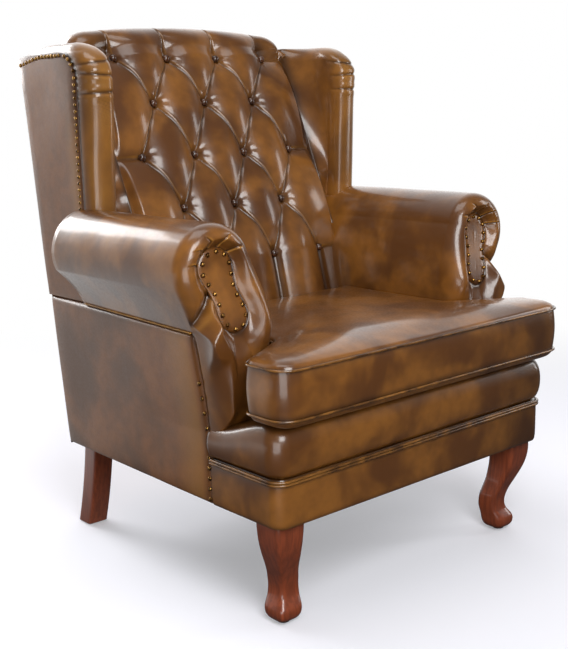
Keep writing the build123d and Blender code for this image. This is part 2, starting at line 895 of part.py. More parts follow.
def wing_section(z):
    """A plan of the wing at height z: a round front edge, and an inner face back to the inside back."""
    radius = wing_roll_thickness / 2
    centre_y = wing_front_y_high + radius
    middle_x = wing_panel_half_width - radius
    outer_front = Vector(wing_panel_half_width, centre_y, z)
    nose = Vector(middle_x, wing_front_y_high, z)
    inner_front = Vector(wing_inner_x, centre_y, z)
    corner = Vector(side_seam_half_width, button_plane_y(z) - tuft_depth / 2, z)
    rear_inner = Vector(side_seam_half_width, outside_back_y(z, cover_thickness), z)
    rear_outer = Vector(wing_panel_half_width, outside_back_y(z, cover_thickness), z)
    half_turn = radius * math.sqrt(0.5)
    outer_mid = Vector(middle_x + half_turn, centre_y - half_turn, z)
    inner_mid = Vector(middle_x - half_turn, centre_y - half_turn, z)
    return Wire(
        [
            Edge.make_three_point_arc(outer_front, outer_mid, nose),
            Edge.make_three_point_arc(nose, inner_mid, inner_front),
            Edge.make_line(inner_front, corner),
            Edge.make_line(corner, rear_inner),
            Edge.make_line(rear_inner, rear_outer),
            Edge.make_line(rear_outer, outer_front),
        ]
    )


wing_front_corner = Vector(0, wing_front_y_high, wing_top_height)
round_start = wing_front_corner - Vector(0, 0, wing_corner_round)
round_middle = wing_front_corner + Vector(0, 1, -1) * (wing_corner_round * quarter_round_share)
round_end = wing_front_corner + Vector(0, wing_corner_round, 0)
wing_low_front = Vector(0, wing_front_y_low, wing_low_height)
wing_low_rear = Vector(0, rear_y, wing_low_height)
wing_top_rear = Vector(0, rear_y, wing_top_height)
wing_side_outline = Wire(
    [
        Edge.make_line(wing_low_rear, wing_low_front),
        Edge.make_line(wing_low_front, round_start),
        Edge.make_three_point_arc(round_start, round_middle, round_end),
        Edge.make_line(round_end, wing_top_rear),
        Edge.make_line(wing_top_rear, wing_low_rear),
    ]
)
wing_pad = Solid.make_loft([wing_section(wing_low_height), wing_section(wing_top_height)], ruled=True)
wing_pad = wing_pad & Solid.extrude(Face(wing_side_outline), Vector(half_base + overrun, 0, 0))
arm_frame = [arm_front_board, arm_rail, arm_tack_rail, wing_post, back_lower_rail]
arm_main_pad = carve(arm_main_pad, [*arm_frame, back_envelope])
wing_frame = [arm_rail, wing_post, wing_top_rail, back_post, back_top_rail]
wing_pad = carve(wing_pad, [arm_main_pad, outside_wing, *wing_frame])
keep_pair("wing_pad", wing_pad)
arm_pad = arm_main_pad + arm_front_pad
keep_pair("arm_pad", arm_pad)


# Scroll facing on the arm front: a round head with a narrower tail, nailed round its edge

def two_circle_edges(inset, y):
    """The outline round two circles, joined by their outer tangents."""
    big, small = facing_head_radius - inset, facing_tail_radius - inset
    dx, dz = facing_tail_x - facing_head_x, facing_tail_z - facing_head_z
    length = math.hypot(dx, dz)
    heading = math.atan2(dz, dx)
    spread = math.acos((big - small) / length)

    def on_head(turn):
        return Vector(facing_head_x + big * math.cos(turn), y, facing_head_z + big * math.sin(turn))

    def on_tail(turn):
        return Vector(facing_tail_x + small * math.cos(turn), y, facing_tail_z + small * math.sin(turn))

    head_turns = [heading + spread + (math.pi - spread) * quarter / 2 for quarter in range(5)]
    tail_turns = [heading - spread, heading, heading + spread]
    head = [on_head(turn) for turn in head_turns]
    tail = [on_tail(turn) for turn in tail_turns]
    return [
        Edge.make_three_point_arc(*head[:3]),
        Edge.make_three_point_arc(*head[2:]),
        Edge.make_line(head[-1], tail[0]),
        Edge.make_three_point_arc(*tail),
        Edge.make_line(tail[-1], head[0]),
    ]


facing_front_y = arm_front_y - facing_thickness
arm_facing = Solid.extrude(Face(Wire(two_circle_edges(0, arm_front_y))), Vector(0, -facing_thickness, 0))
keep_pair("arm_facing", arm_facing)

nail_wire = Wire(two_circle_edges(scroll_nail_inset, facing_front_y))
scroll_nails = []
for number in range(scroll_nail_count):
    place = nail_wire.position_at(number / scroll_nail_count)
    scroll_nails.append(studded(place, Vector(0, -1, 0), nail_diameter, nail_height, nail_sides))
keep("scroll_nails", both_sides(scroll_nails))


def nails_between(start, end, pitch, outward):
    """A line of nails from one end to the other, as near the pitch as fits."""
    gaps = max(1, round((end - start).length / pitch))
    return [
        studded(start + (end - start) * (k / gaps), outward, nail_diameter, nail_height, nail_sides)
        for k in range(gaps + 1)
    ]


side_nail_y = nail_line_y + nail_diameter / 2
flare_line = Vector(seam_flare_front * side_flare_mid_share, 0, flare_middle_z - stump_bottom_z).normalized()
flare_outward = Vector(flare_line.Z, 0, -flare_line.X)
flare_foot = Vector(half_base, side_nail_y, stump_bottom_z)
side_nails = [
    *nails_between(
        Vector(half_base, side_nail_y, leg_height + nail_diameter),
        Vector(half_base, side_nail_y, band_top_z),
        band_nail_pitch,
        Vector(1, 0, 0),
    ),
    studded(
        Vector(half_base, side_nail_y, (band_top_z + stump_bottom_z) / 2 + nail_diameter / 2),
        Vector(1, 0, 0),
        nail_diameter,
        nail_height,
        nail_sides,
    ),
    *nails_between(
        flare_foot + flare_line * nail_diameter,
        flare_foot + flare_line * (side_nail_top_height - stump_bottom_z),
        side_nail_pitch,
        flare_outward,
    ),
]
keep("side_nails", both_sides(side_nails))

wing_nail_y = wing_panel_front_y + wing_nail_inset
wing_nail_z = panel_top_z - wing_nail_inset
wing_nails = nails_between(
    Vector(wing_panel_half_width, wing_nail_y, wing_nail_z),
    Vector(wing_panel_half_width, outside_back_y(wing_nail_z, 2 * wing_nail_inset), wing_nail_z),
    wing_nail_pitch,
    Vector(1, 0, 0),
) + nails_between(
    Vector(wing_panel_half_width, wing_nail_y, arm_top_height),
    Vector(wing_panel_half_width, wing_nail_y, wing_nail_z - wing_nail_pitch),
    wing_nail_pitch,
    Vector(1, 0, 0),
)
keep("wing_nails", both_sides(wing_nails))


# Border
def border_edges(half_width, y_front, radius, y_back, z):
    """The open plan line of the border: back along one side, round the front, and back again."""
    corner_cut = radius * quarter_round_share
    edges = [Edge.make_line(Vector(-half_width, y_back, z), Vector(-half_width, y_front + radius, z))]
    for side in (-1, 1):
        points = [
            Vector(side * half_width, y_front + radius, z),
            Vector(side * (half_width - corner_cut), y_front + corner_cut, z),
            Vector(side * (half_width - radius), y_front, z),
        ]
        if side > 0:
            edges.append(Edge.make_line(Vector(radius - half_width, y_front, z), points[2]))
            points.reverse()
        edges.append(Edge.make_three_point_arc(*points))
    edges.append(Edge.make_line(Vector(half_width, y_front + radius, z), Vector(half_width, y_back, z)))
    return edges


def border_ring(half_width, y_front, radius, inner_half_width, y_inner, z0, z1):
    """A flat-sided border of constant height, open at the rear."""
    y_back = nail_line_y
    edges = border_edges(half_width, y_front, radius, y_back, z0)
    inner = [
        Vector(half_width, y_back, z0),
        Vector(inner_half_width, y_back, z0),
        Vector(inner_half_width, y_inner, z0),
        Vector(-inner_half_width, y_inner, z0),
        Vector(-inner_half_width, y_back, z0),
        Vector(-half_width, y_back, z0),
    ]
    edges += [Edge.make_line(a, b) for a, b in zip(inner, inner[1:])]
    return Solid.extrude(Face(Wire(edges)), Vector(0, 0, z1 - z0))


lower_band = border_ring(
    half_base, base_front_y, corner_radius, rail_x, rail_front_y, leg_height, band_top_z
)
keep("lower_band", lower_band)

roll_half_width = half_base + edge_roll_proud
roll_front_y = base_front_y - edge_roll_proud
roll_inner_y = base_front_y + edge_roll_depth
edge_roll = border_ring(
    roll_half_width,
    roll_front_y,
    corner_radius + edge_roll_proud,
    arm_inner_half_gap,
    roll_inner_y,
    band_top_z,
    deck_z,
)


def outer_edges(border, z):
    """The edges of the border's outer line at height z."""
    found = []
    for edge in border.edges():
        middle = edge.center()
        level = abs(middle.Z - z) < soft_clearance
        outside = abs(middle.X) > arm_inner_half_gap + overrun or middle.Y < roll_inner_y - overrun
        if level and outside and middle.Y < nail_line_y - soft_clearance:
            found.append(edge)
    return found


edge_roll = edge_roll.fillet(edge_roll_round, outer_edges(edge_roll, deck_z))
edge_roll = edge_roll.fillet(edge_roll_under_round, outer_edges(edge_roll, band_top_z))
roll_fall = side_prism(
    [
        (roll_inner_y - stump_bottom_drop, deck_z),
        (arm_front_y, stump_bottom_z),
        (nail_line_y + overrun, stump_bottom_z),
        (nail_line_y + overrun, deck_z + overrun),
        (roll_inner_y - stump_bottom_drop, deck_z + overrun),
    ],
    arm_inner_half_gap,
    roll_half_width + overrun,
)
edge_roll = carve(edge_roll, [roll_fall, other_side(roll_fall)])
keep("front_edge_roll", edge_roll)


def faceted_cord(edges, centre, along):
    """A cord with flat sides along joined edges, which start at centre in the direction along."""
    start = Plane(origin=centre, x_dir=Vector(0, 0, 1), z_dir=along)
    return Solid.sweep(Wire.make_polygon(ring(start, welt_diameter / 2, 0, welt_sides)), path=Wire(edges))


border_welts = []
for number in range(2):
    welt_z = band_top_z - welt_diameter / 2 - number * (welt_diameter + soft_clearance)
    line = border_edges(
        half_base + welt_reach, base_front_y - welt_reach, corner_radius + welt_reach, nail_line_y, welt_z
    )
    start = Vector(-half_base - welt_reach, nail_line_y, welt_z)
    border_welts.append(faceted_cord(line, start, Vector(0, -1, 0)))
keep("border_welt", Compound(children=border_welts))

seat_deck = box(
    -arm_inner_half_gap, arm_inner_half_gap, roll_inner_y, wing_post_front_y, spring_top_z, deck_z
)
keep("seat_deck", seat_deck)

# Loose T-shaped cushion
cushion_bottom_z = deck_z + soft_clearance
cushion_low_seam_z = cushion_bottom_z + cushion_base_round
cushion_high_seam_z = cushion_low_seam_z + cushion_seam_height
cushion_top_z = cushion_high_seam_z + cushion_crown
stem_x = arm_inner_half_gap - cushion_side_clearance - welt_room
ear_x = cushion_ear_width - welt_room
cushion_front_y = front_y + welt_room
cushion_rear_y = button_plane_y(back_bottom_z) - cushion_back_clearance - welt_room
notch_y = arm_front_y - facing_thickness - nail_height - cushion_ear_clearance - welt_room
ear_tip_y = notch_y - cushion_ear_slant
cushion_corners = [
    (stem_x, cushion_rear_y),
    (stem_x, notch_y),
    (ear_x, ear_tip_y),
    (ear_x, cushion_front_y),
]
cushion_corners = cushion_corners + [(-x, y) for x, y in cushion_corners[::-1]]
corner_rounds = [cushion_rear_radius, cushion_notch_radius, cushion_tip_radius, cushion_corner_radius]
corner_rounds = corner_rounds + corner_rounds[::-1]


def shrunk(points, inset):
    """A closed outline moved inwards by an inset. The points run clockwise, seen from above."""
    moved = []
    for number, (x, y) in enumerate(points):
        before = points[number - 1]
        after = points[(number + 1) % len(points)]
        into = math.atan2(y - before[1], x - before[0])
        out = math.atan2(after[1] - y, after[0] - x)
        middle = (into + out) / 2
        if abs(out - into) > math.pi:
            middle += math.pi
        reach = inset / abs(math.cos((out - into) / 2))
        moved.append((x + math.sin(middle) * reach, y - math.cos(middle) * reach))
    return moved


def rounded(corners, radii, z):
    """A closed line at height z round some corners, each rounded by a few flats."""
    line = []
    places = [Vector(x, y, z) for x, y in corners]
    for number, (place, radius) in enumerate(zip(places, radii)):
        back = (places[number - 1] - place).normalized()
        ahead = (places[(number + 1) % len(places)] - place).normalized()
        half_angle = math.acos(back.dot(ahead)) / 2
        start = place + back * (radius / math.tan(half_angle))
        centre = place + (back + ahead).normalized() * (radius / math.sin(half_angle))
        turn = math.degrees(math.pi - 2 * half_angle)
        if back.cross(ahead).Z < 0:
            turn = -turn
        for step in range(cushion_corner_flats + 1):
            spoke = (start - centre).rotate(Axis.Z, -turn * step / cushion_corner_flats)
            line.append(centre + spoke)
    return line


def cushion_line(inset, z):
    """The rounded T outline of the cushion, inset, at height z."""
    radii = []
    for number, radius in enumerate(corner_rounds):
        hollow = number in (1, len(corner_rounds) - 2)
        radii.append(max(radius + inset if hollow else radius - inset, soft_clearance))
    return rounded(shrunk(cushion_corners, inset), radii, z)


cushion_levels = [
    (cushion_base_inset, cushion_bottom_z),
    (0.0, cushion_low_seam_z),
    (cushion_waist, cushion_low_seam_z + cushion_waist_height),
    (cushion_waist, cushion_high_seam_z - cushion_waist_height),
    (0.0, cushion_high_seam_z),
    (cushion_crown_insets[0], cushion_high_seam_z + cushion_crown * cushion_crown_share),
    (cushion_crown_insets[1], cushion_top_z),
]


foam_levels = [
    (cushion_base_inset, cushion_bottom_z + cushion_skin),
    (cushion_waist, cushion_low_seam_z),
    (cushion_waist, cushion_high_seam_z),
    (cushion_crown_insets[0], cushion_levels[-2][1] - cushion_skin),
    (cushion_crown_insets[1], cushion_top_z - cushion_skin),
]
cushion_foam = stacked([cushion_line(inset + cushion_skin, z) for inset, z in foam_levels])
cushion_cover = stacked([cushion_line(inset, z) for inset, z in cushion_levels]) - cushion_foam
keep("cushion_cover", cushion_cover)
keep("cushion_foam", cushion_foam)


def cushion_welt(z):
    """A cord of flat sides round the whole cushion: one line of points for each edge of the cord."""
    lines = []
    for side in range(welt_sides):
        turn = 2 * math.pi * side / welt_sides
        out = welt_reach + welt_diameter / 2 * math.sin(turn)
        lines.append(cushion_line(-out, z + welt_diameter / 2 * math.cos(turn)))
    return stacked(lines, hoop=True)


cushion_welts = [cushion_welt(z) for z in (cushion_low_seam_z, cushion_high_seam_z)]
keep("cushion_welts", Compound(children=cushion_welts))

# Zip along the rear of the cushion, with its slider
zip_y = cushion_rear_y - cushion_waist
zip_z = (cushion_low_seam_z + cushion_high_seam_z) / 2
cushion_zip = box(
    -zip_length / 2, zip_length / 2, zip_y, zip_y + zip_depth, zip_z - zip_height / 2, zip_z + zip_height / 2
)
keep("cushion_zip", cushion_zip)
slider_half_height = zip_height / 2 + slider_gap + slider_wall
slider_back_y = zip_y + zip_depth + slider_gap + slider_wall
slider_block = box(
    -zip_length / 2,
    slider_length - zip_length / 2,
    zip_y + slider_gap,
    slider_back_y,
    zip_z - slider_half_height,
    zip_z + slider_half_height,
)
slider_channel = box(
    -zip_length / 2 - overrun,
    slider_length - zip_length / 2 + overrun,
    zip_y,
    zip_y + zip_depth + slider_gap,
    zip_z - zip_height / 2 - slider_gap,
    zip_z + zip_height / 2 + slider_gap,
)
keep("zip_slider", slider_block - slider_channel)

os.makedirs("parts", exist_ok=True)
for name, shape in nodes.items():
    export_step(shape, f"parts/{name}.step")
print(len(nodes), "pieces written")
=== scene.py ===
# %% [markdown]
# A buttoned wing chair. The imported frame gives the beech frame, the springs and the joints. This
# lesson dresses it: the soft leather, the shaped legs, the nails and the light. The frame is
# loaded first and isn't moved, so that each new piece goes where the real one sits. Pieces named
# right stand on the side of +X, which is on the right of someone who looks at the chair's front.

# %% Load the frame
import json
import math
import bpy
import numpy as np
from mathutils import Matrix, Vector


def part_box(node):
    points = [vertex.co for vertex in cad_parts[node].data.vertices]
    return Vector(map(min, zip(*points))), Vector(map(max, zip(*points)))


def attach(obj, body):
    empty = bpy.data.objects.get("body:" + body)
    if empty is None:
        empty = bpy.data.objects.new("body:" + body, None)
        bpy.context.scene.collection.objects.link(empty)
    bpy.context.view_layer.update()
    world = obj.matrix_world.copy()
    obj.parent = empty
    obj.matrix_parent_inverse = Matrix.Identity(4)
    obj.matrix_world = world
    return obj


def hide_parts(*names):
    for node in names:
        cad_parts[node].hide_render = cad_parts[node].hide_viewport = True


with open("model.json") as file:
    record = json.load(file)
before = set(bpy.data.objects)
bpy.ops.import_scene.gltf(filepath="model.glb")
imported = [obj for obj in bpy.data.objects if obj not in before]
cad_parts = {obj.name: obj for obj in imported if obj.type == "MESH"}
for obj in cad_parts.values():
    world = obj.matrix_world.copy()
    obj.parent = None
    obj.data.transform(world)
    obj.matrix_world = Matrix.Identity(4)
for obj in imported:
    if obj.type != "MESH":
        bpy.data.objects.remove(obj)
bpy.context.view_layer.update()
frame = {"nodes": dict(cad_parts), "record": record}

print(len(frame["nodes"]), "nodes in the frame")

# %% [markdown]
# The picture is taken from in front of the chair and towards -X, with a long lens. The camera's
# place, the way it looks and its roll were measured from the straight edges of the chair. The lens
# follows from the focal length in pixels, and the small shifts put the picture's centre right.

# %% Camera
picture_width, picture_height = 568, 649
camera_place = (-1.436, -1.650, 0.897)
camera_azimuth, camera_elevation, camera_roll = -41.0198, 12.3284, -1.3708
focal_pixels = 1071.43
middle_pixel = (288.05, 335.92)
sensor_width = 36.0


def camera_axes(azimuth, elevation, roll):
    """The camera's right, up and back directions. Back points from the chair to the camera: it is
    turned about the upright by the azimuth and lifted by the elevation. Right lies level, and the
    roll then turns right and up about back."""
    a, e, r = (math.radians(angle) for angle in (azimuth, elevation, roll))
    back = np.array([math.sin(a) * math.cos(e), -math.cos(a) * math.cos(e), math.sin(e)])
    right = np.cross([0, 0, 1], back)
    right = right / np.linalg.norm(right)
    up = np.cross(back, right)
    return math.cos(r) * right + math.sin(r) * up, math.cos(r) * up - math.sin(r) * right, back


def stand(thing, place, axes):
    """Put a camera or a lamp at a place, with its right, up and back directions as given."""
    thing.matrix_world = Matrix.Translation(place) @ Matrix(np.array(axes).T.tolist()).to_4x4()


camera = bpy.data.objects.new("camera", bpy.data.cameras.new("camera"))
bpy.context.scene.collection.objects.link(camera)
bpy.context.scene.camera = camera
stand(camera, camera_place, camera_axes(camera_azimuth, camera_elevation, camera_roll))
camera.data.sensor_width = sensor_width
camera.data.lens = focal_pixels / picture_height * sensor_width
camera.data.shift_x = -(middle_pixel[0] - picture_width / 2) / picture_height
camera.data.shift_y = (middle_pixel[1] - picture_height / 2) / picture_height
bpy.context.scene.view_settings.view_transform = "Standard"
print("lens", round(camera.data.lens, 2), "mm")

# %% [markdown]
# Every finish below is a small net of shader nodes. One function adds a node: it sets the node's
# own settings, and fills each socket with a link or with a plain value. Colours are written as
# they look on a screen and turned to linear light by one more function.

# %% Colour and node helpers
def linear(colour):
    """A screen colour such as #8a5a2b as linear red, green, blue and 1. Each channel below 0.04045
    is divided by 12.92, and a brighter one is ((c + 0.055) / 1.055) to the power 2.4."""
    shares = [int(colour[k:k + 2], 16) / 255 for k in (1, 3, 5)]
    return [c / 12.92 if c <= 0.04045 else ((c + 0.055) / 1.055) ** 2.4 for c in shares] + [1.0]


def add_node(tree, kind, sockets=None, **settings):
    """Add a shader node with its settings. A socket that is given another node's output is linked
    to it, and any other value is written into the socket."""
    node = tree.nodes.new("ShaderNode" + kind)
    for name, value in settings.items():
        setattr(node, name, value)
    for name, value in (sockets or {}).items():
        if isinstance(value, bpy.types.NodeSocket):
            tree.links.new(value, node.inputs[name])
        else:
            node.inputs[name].default_value = value
    return node


def new_finish(name):
    """An empty material. Returns it, its node tree, its output node and each point's place on the
    piece in metres, which every pattern here starts from."""
    finish = bpy.data.materials.new(name)
    finish.use_nodes = True
    tree = finish.node_tree
    tree.nodes.clear()
    place = add_node(tree, "TexCoord").outputs["Object"]
    return finish, tree, add_node(tree, "OutputMaterial"), place


# The places of the colour sockets of a Mix node, and of its colour result
mix_factor, mix_first, mix_second, mix_result = 0, 6, 7, 2
paper_white = linear("#ffffff")
print("white as linear light:", paper_white)

# %% [markdown]
# The chair stands on a white studio sweep. The floor is a pale matt disc that fades into the white
# of the background, so that only the soft shadow under the chair shows. White comes from the
# colour seen by the camera, and not from more light.

# %% Studio floor
floor_radius, floor_points = 6.0, 64
floor_fade = (1.0, 2.4)
floor_grey, floor_lift = "#e4e4ec", 0.22
mirrored_fade = (0.1, 1.0)
mirrored_grey, mirrored_glow = "#4c4c4e", 0.8


def studio_floor():
    """A flat disc of one ring of points at the floor's height."""
    turns = np.linspace(0, 2 * np.pi, floor_points, endpoint=False)
    ring = np.stack([np.cos(turns), np.sin(turns), 0 * turns], axis=1) * floor_radius
    mesh = bpy.data.meshes.new("studio_floor")
    mesh.from_pydata(ring.tolist(), [], [list(range(len(ring)))])
    floor = bpy.data.objects.new("studio_floor", mesh)
    bpy.context.scene.collection.objects.link(floor)
    return floor


def paper_sweep():
    """Matt paper. Seen by the camera it gets a little of its own white, and far from the chair it
    is only white, so that no edge of the floor shows. For every other ray the floor behind the
    chair glows white, standing in for the lit paper there, and the floor in front is dim grey,
    standing in for the dim room. The leather mirrors both."""
    finish, tree, output, place = new_finish("paper_sweep")
    distance = add_node(tree, "VectorMath", {0: place}, operation="LENGTH").outputs["Value"]
    far = add_node(
        tree, "MapRange", {"Value": distance, "From Min": floor_fade[0], "From Max": floor_fade[1]},
        interpolation_type="SMOOTHSTEP",
    ).outputs["Result"]
    matt = add_node(tree, "BsdfDiffuse", {"Color": linear(floor_grey)})
    depth = add_node(tree, "SeparateXYZ", {"Vector": place}).outputs["Y"]
    behind = add_node(
        tree, "MapRange", {"Value": depth, "From Min": mirrored_fade[0], "From Max": mirrored_fade[1]},
        interpolation_type="SMOOTHSTEP",
    ).outputs["Result"]
    # Seen by other rays, the floor in front is dim grey for the dark room, and the floor behind glows white
    # for the lit paper
    dim = add_node(tree, "BsdfDiffuse", {"Color": linear(mirrored_grey)})
    bright = add_node(tree, "Emission", {"Color": paper_white, "Strength": mirrored_glow})
    mirror = add_node(tree, "MixShader", {0: behind, 1: dim.outputs[0], 2: bright.outputs[0]})
    seen = add_node(tree, "LightPath").outputs["Is Camera Ray"]
    lift = add_node(tree, "Emission", {"Color": paper_white, "Strength": floor_lift})
    plain = add_node(tree, "Emission", {"Color": paper_white, "Strength": 1.0})
    lifted = add_node(tree, "AddShader", {0: matt.outputs[0], 1: lift.outputs[0]})
    near = add_node(tree, "MixShader", {0: seen, 1: mirror.outputs[0], 2: lifted.outputs[0]})
    far_seen = add_node(tree, "Math", {0: far, 1: seen}, operation="MULTIPLY").outputs[0]
    mixed = add_node(tree, "MixShader", {0: far_seen, 1: near.outputs[0], 2: plain.outputs[0]})
    tree.links.new(mixed.outputs[0], output.inputs["Surface"])
    return finish


floor = studio_floor()
floor.data.materials.append(paper_sweep())
print("floor", 2 * floor_radius, "m across")

# %% [markdown]
# Large soft boxes give the long highlights of polished leather. They stand behind the chair, high
# in front of it, low beside the camera, on the side of +X and overhead. Each is as large as the
# highlight that it has to leave.

# %% Soft boxes
lamp_aim = np.array([0, 0, 0.55])
# Azimuth and elevation in degrees, distance and size in metres, and power in watts
soft_boxes = {
    "box_behind": (-168, 24, 2.6, (1.2, 1.4), 34),
    "box_front": (-26, 30, 2.6, (1.1, 1.5), 44),
    "box_near": (-50, -4, 1.75, (0.9, 0.7), 6),
    "box_side": (60, 14, 2.8, (0.5, 1.6), 11),
    "box_top": (-60, 80, 2.8, (2.0, 1.4), 22),
}


def soft_box(name, azimuth, elevation, distance, size, power):
    """A rectangular lamp that faces the chair. Azimuth 0 is in front of the chair and 90 on the
    side of +X, and the elevation is measured from the seat."""
    lamp = bpy.data.objects.new(name, bpy.data.lights.new(name, "AREA"))
    bpy.context.scene.collection.objects.link(lamp)
    axes = camera_axes(azimuth, elevation, 0)
    stand(lamp, (lamp_aim + axes[2] * distance).tolist(), axes)
    lamp.data.shape = "RECTANGLE"
    lamp.data.size, lamp.data.size_y = size
    lamp.data.energy = power


for name, settings in soft_boxes.items():
    soft_box(name, *settings)
print(len(soft_boxes), "soft boxes")

# %% [markdown]
# Between the lamps the leather mirrors the room. The paper behind the chair is bright, and the
# room behind the camera is dim, which leaves the leather that faces the room dark between its
# highlights.

# %% Room light
room_light, backdrop_light = 0.12, 1.55
backdrop_side = (0.40, 0.917, 0.0)
backdrop_edge = 0.15
world = bpy.data.worlds.new("studio")
bpy.context.scene.world = world
world.use_nodes = True
tree = world.node_tree
tree.nodes.clear()
ray = add_node(tree, "LightPath")
direction = add_node(tree, "TexCoord").outputs["Generated"]
facing = add_node(
    tree, "VectorMath", {0: direction, 1: backdrop_side}, operation="DOT_PRODUCT",
).outputs["Value"]
backdrop = add_node(
    tree, "MapRange",
    {
        "Value": facing, "From Min": backdrop_edge, "From Max": 1.0,
        "To Min": room_light, "To Max": backdrop_light,
    },
    interpolation_type="SMOOTHSTEP",
).outputs["Result"]
sky_dim = add_node(tree, "Background", {"Color": paper_white, "Strength": backdrop})
sky_white = add_node(tree, "Background", {"Color": paper_white, "Strength": 1.0})
sky = add_node(
    tree, "MixShader",
    {0: ray.outputs["Is Camera Ray"], 1: sky_dim.outputs[0], 2: sky_white.outputs[0]},
)
add_node(tree, "OutputWorld", {"Surface": sky.outputs[0]})
print("room", room_light, "and backdrop", backdrop_light)

# %% [markdown]
# The hide is antiqued leather: a tan hide is waxed, a dark stain is rubbed over it and partly
# wiped off, and a clear lacquer is sprayed on top. To the eye that is cloudy two-tone brown with a
# sharp gloss. Clouds of noise give the two tones. Two attributes on the pieces do the rest:
# hollow darkens the pleats, the seams and some ends, partly with the stain that stays in
# them and partly as painted shade where shadow falls, and rubbed lightens thin edges,
# partly as rubbed wear and partly as a painted highlight along the folded edges of the pleats.

# %% Leather finish
# Pale tan: rubbed wear on thin edges, and a painted highlight along the pleats' folded edges
wear_and_highlight_tan = "#b88138"
cloud_edges, mottle_edges = (0.36, 0.62), (0.35, 0.75)
mottle_size, slack_size = 0.026, 0.035
slack_height = 0.004
# Real pores lie about 0.6 mm apart. They are drawn 4 mm apart, so that the gloss breaks up.
pore_size = 0.004
coat_roughness, coat_ior = 0.13, 1.55


def antiqued_hide(name, tan, brown, stain, cloud_size=0.11, gloss=0.28, veil=0.6):
    """Waxed two-tone leather. Cloud size is how far apart the rubbed patches lie, in metres. Gloss
    is the roughness of the shiniest spots, and veil the weight of the lacquer."""
    finish, tree, output, place = new_finish(name)
    hollow = add_node(tree, "Attribute", attribute_name="hollow").outputs["Fac"]
    rubbed = add_node(tree, "Attribute", attribute_name="rubbed").outputs["Fac"]
    # Clouds of stain, and finer mottling inside them
    clouds = add_node(
        tree, "TexNoise",
        {"Vector": place, "Scale": 1 / cloud_size, "Detail": 3.0, "Roughness": 0.5, "Distortion": 0.3},
    ).outputs["Fac"]
    mottle = add_node(
        tree, "TexNoise", {"Vector": place, "Scale": 1 / mottle_size, "Detail": 2.0, "Roughness": 0.5},
    ).outputs["Fac"]
    clouded = add_node(
        tree, "MapRange", {"Value": clouds, "From Min": cloud_edges[0], "From Max": cloud_edges[1]},
        interpolation_type="SMOOTHSTEP",
    ).outputs["Result"]
    base = add_node(
        tree, "Mix", {mix_factor: clouded, mix_first: linear(brown), mix_second: linear(tan)},
        data_type="RGBA",
    ).outputs[mix_result]
    speck = add_node(
        tree, "MapRange",
        {"Value": mottle, "From Min": mottle_edges[0], "From Max": mottle_edges[1], "To Max": 0.5},
    ).outputs["Result"]
    mottled = add_node(
        tree, "Mix", {mix_factor: speck, mix_first: base, mix_second: linear(brown)}, data_type="RGBA",
    ).outputs[mix_result]
    # Pale tan where the wear and highlight attribute is high: rubbed wear and painted highlight
    worn_and_highlit = add_node(
        tree, "Mix", {mix_factor: rubbed, mix_first: mottled, mix_second: linear(wear_and_highlight_tan)},
        data_type="RGBA",
    ).outputs[mix_result]
    # The stain's dark brown where the stain and shade attribute is high: stain in the pleats and painted
    # shade
    stained = add_node(
        tree, "Mix", {mix_factor: hollow, mix_first: worn_and_highlit, mix_second: linear(stain)}, data_type="RGBA",
    ).outputs[mix_result]
    # Pores only vary the gloss, and the slack of the hide gives a very low bump
    pores = add_node(
        tree, "TexNoise", {"Vector": place, "Scale": 1 / pore_size, "Detail": 0.0},
    ).outputs["Fac"]
    slack = add_node(
        tree, "TexNoise", {"Vector": place, "Scale": 1 / slack_size, "Detail": 1.0},
    ).outputs["Fac"]
    surface = add_node(
        tree, "Bump", {"Strength": 0.15, "Distance": slack_height, "Height": slack},
    ).outputs["Normal"]
    dull = add_node(
        tree, "MapRange",
        {"Value": pores, "From Min": 0.3, "From Max": 0.7, "To Min": gloss, "To Max": gloss + 0.1},
    ).outputs["Result"]
    shader = add_node(
        tree, "BsdfPrincipled",
        {
            "Base Color": stained, "Roughness": dull, "Normal": surface, "IOR": 1.5,
            "Coat Weight": veil, "Coat Roughness": coat_roughness, "Coat IOR": coat_ior,
        },
    )
    tree.links.new(shader.outputs[0], output.inputs["Surface"])
    return finish


hide = antiqued_hide("waxed_hide", "#905c24", "#5f3816", "#1a0c05")
panel_hide = antiqued_hide(
    "panel_hide", "#8a5424", "#5f3a1b", "#1f1008", cloud_size=0.2, gloss=0.36, veil=0.25,
)
welt_hide = antiqued_hide("welt_hide", "#8a5c28", "#4a2e14", "#1a0c05", cloud_size=0.05, gloss=0.16)
button_hide = antiqued_hide("button_hide", "#54301a", "#3a1f10", "#160a05", cloud_size=0.02, gloss=0.16)
piping_hide = antiqued_hide(
    "piping_hide", "#b9822a", "#8f6120", "#3a1f0b", cloud_size=0.03, gloss=0.5, veil=0.0,
)
print("hides:", [skin.name for skin in (hide, panel_hide, welt_hide, button_hide, piping_hide)])

# %% [markdown]
# The legs are birch stained red-brown and lacquered: fine straight grain under a deep gloss. The
# hidden frame is planed beech, pale with short darker flecks. Both are noise stretched along the
# grain. The nail heads are pressed brass with patches of tarnish.

# %% Wood finish
# Along the wood the grain's noise changes this much more slowly than across it
grain_stretch = 0.08


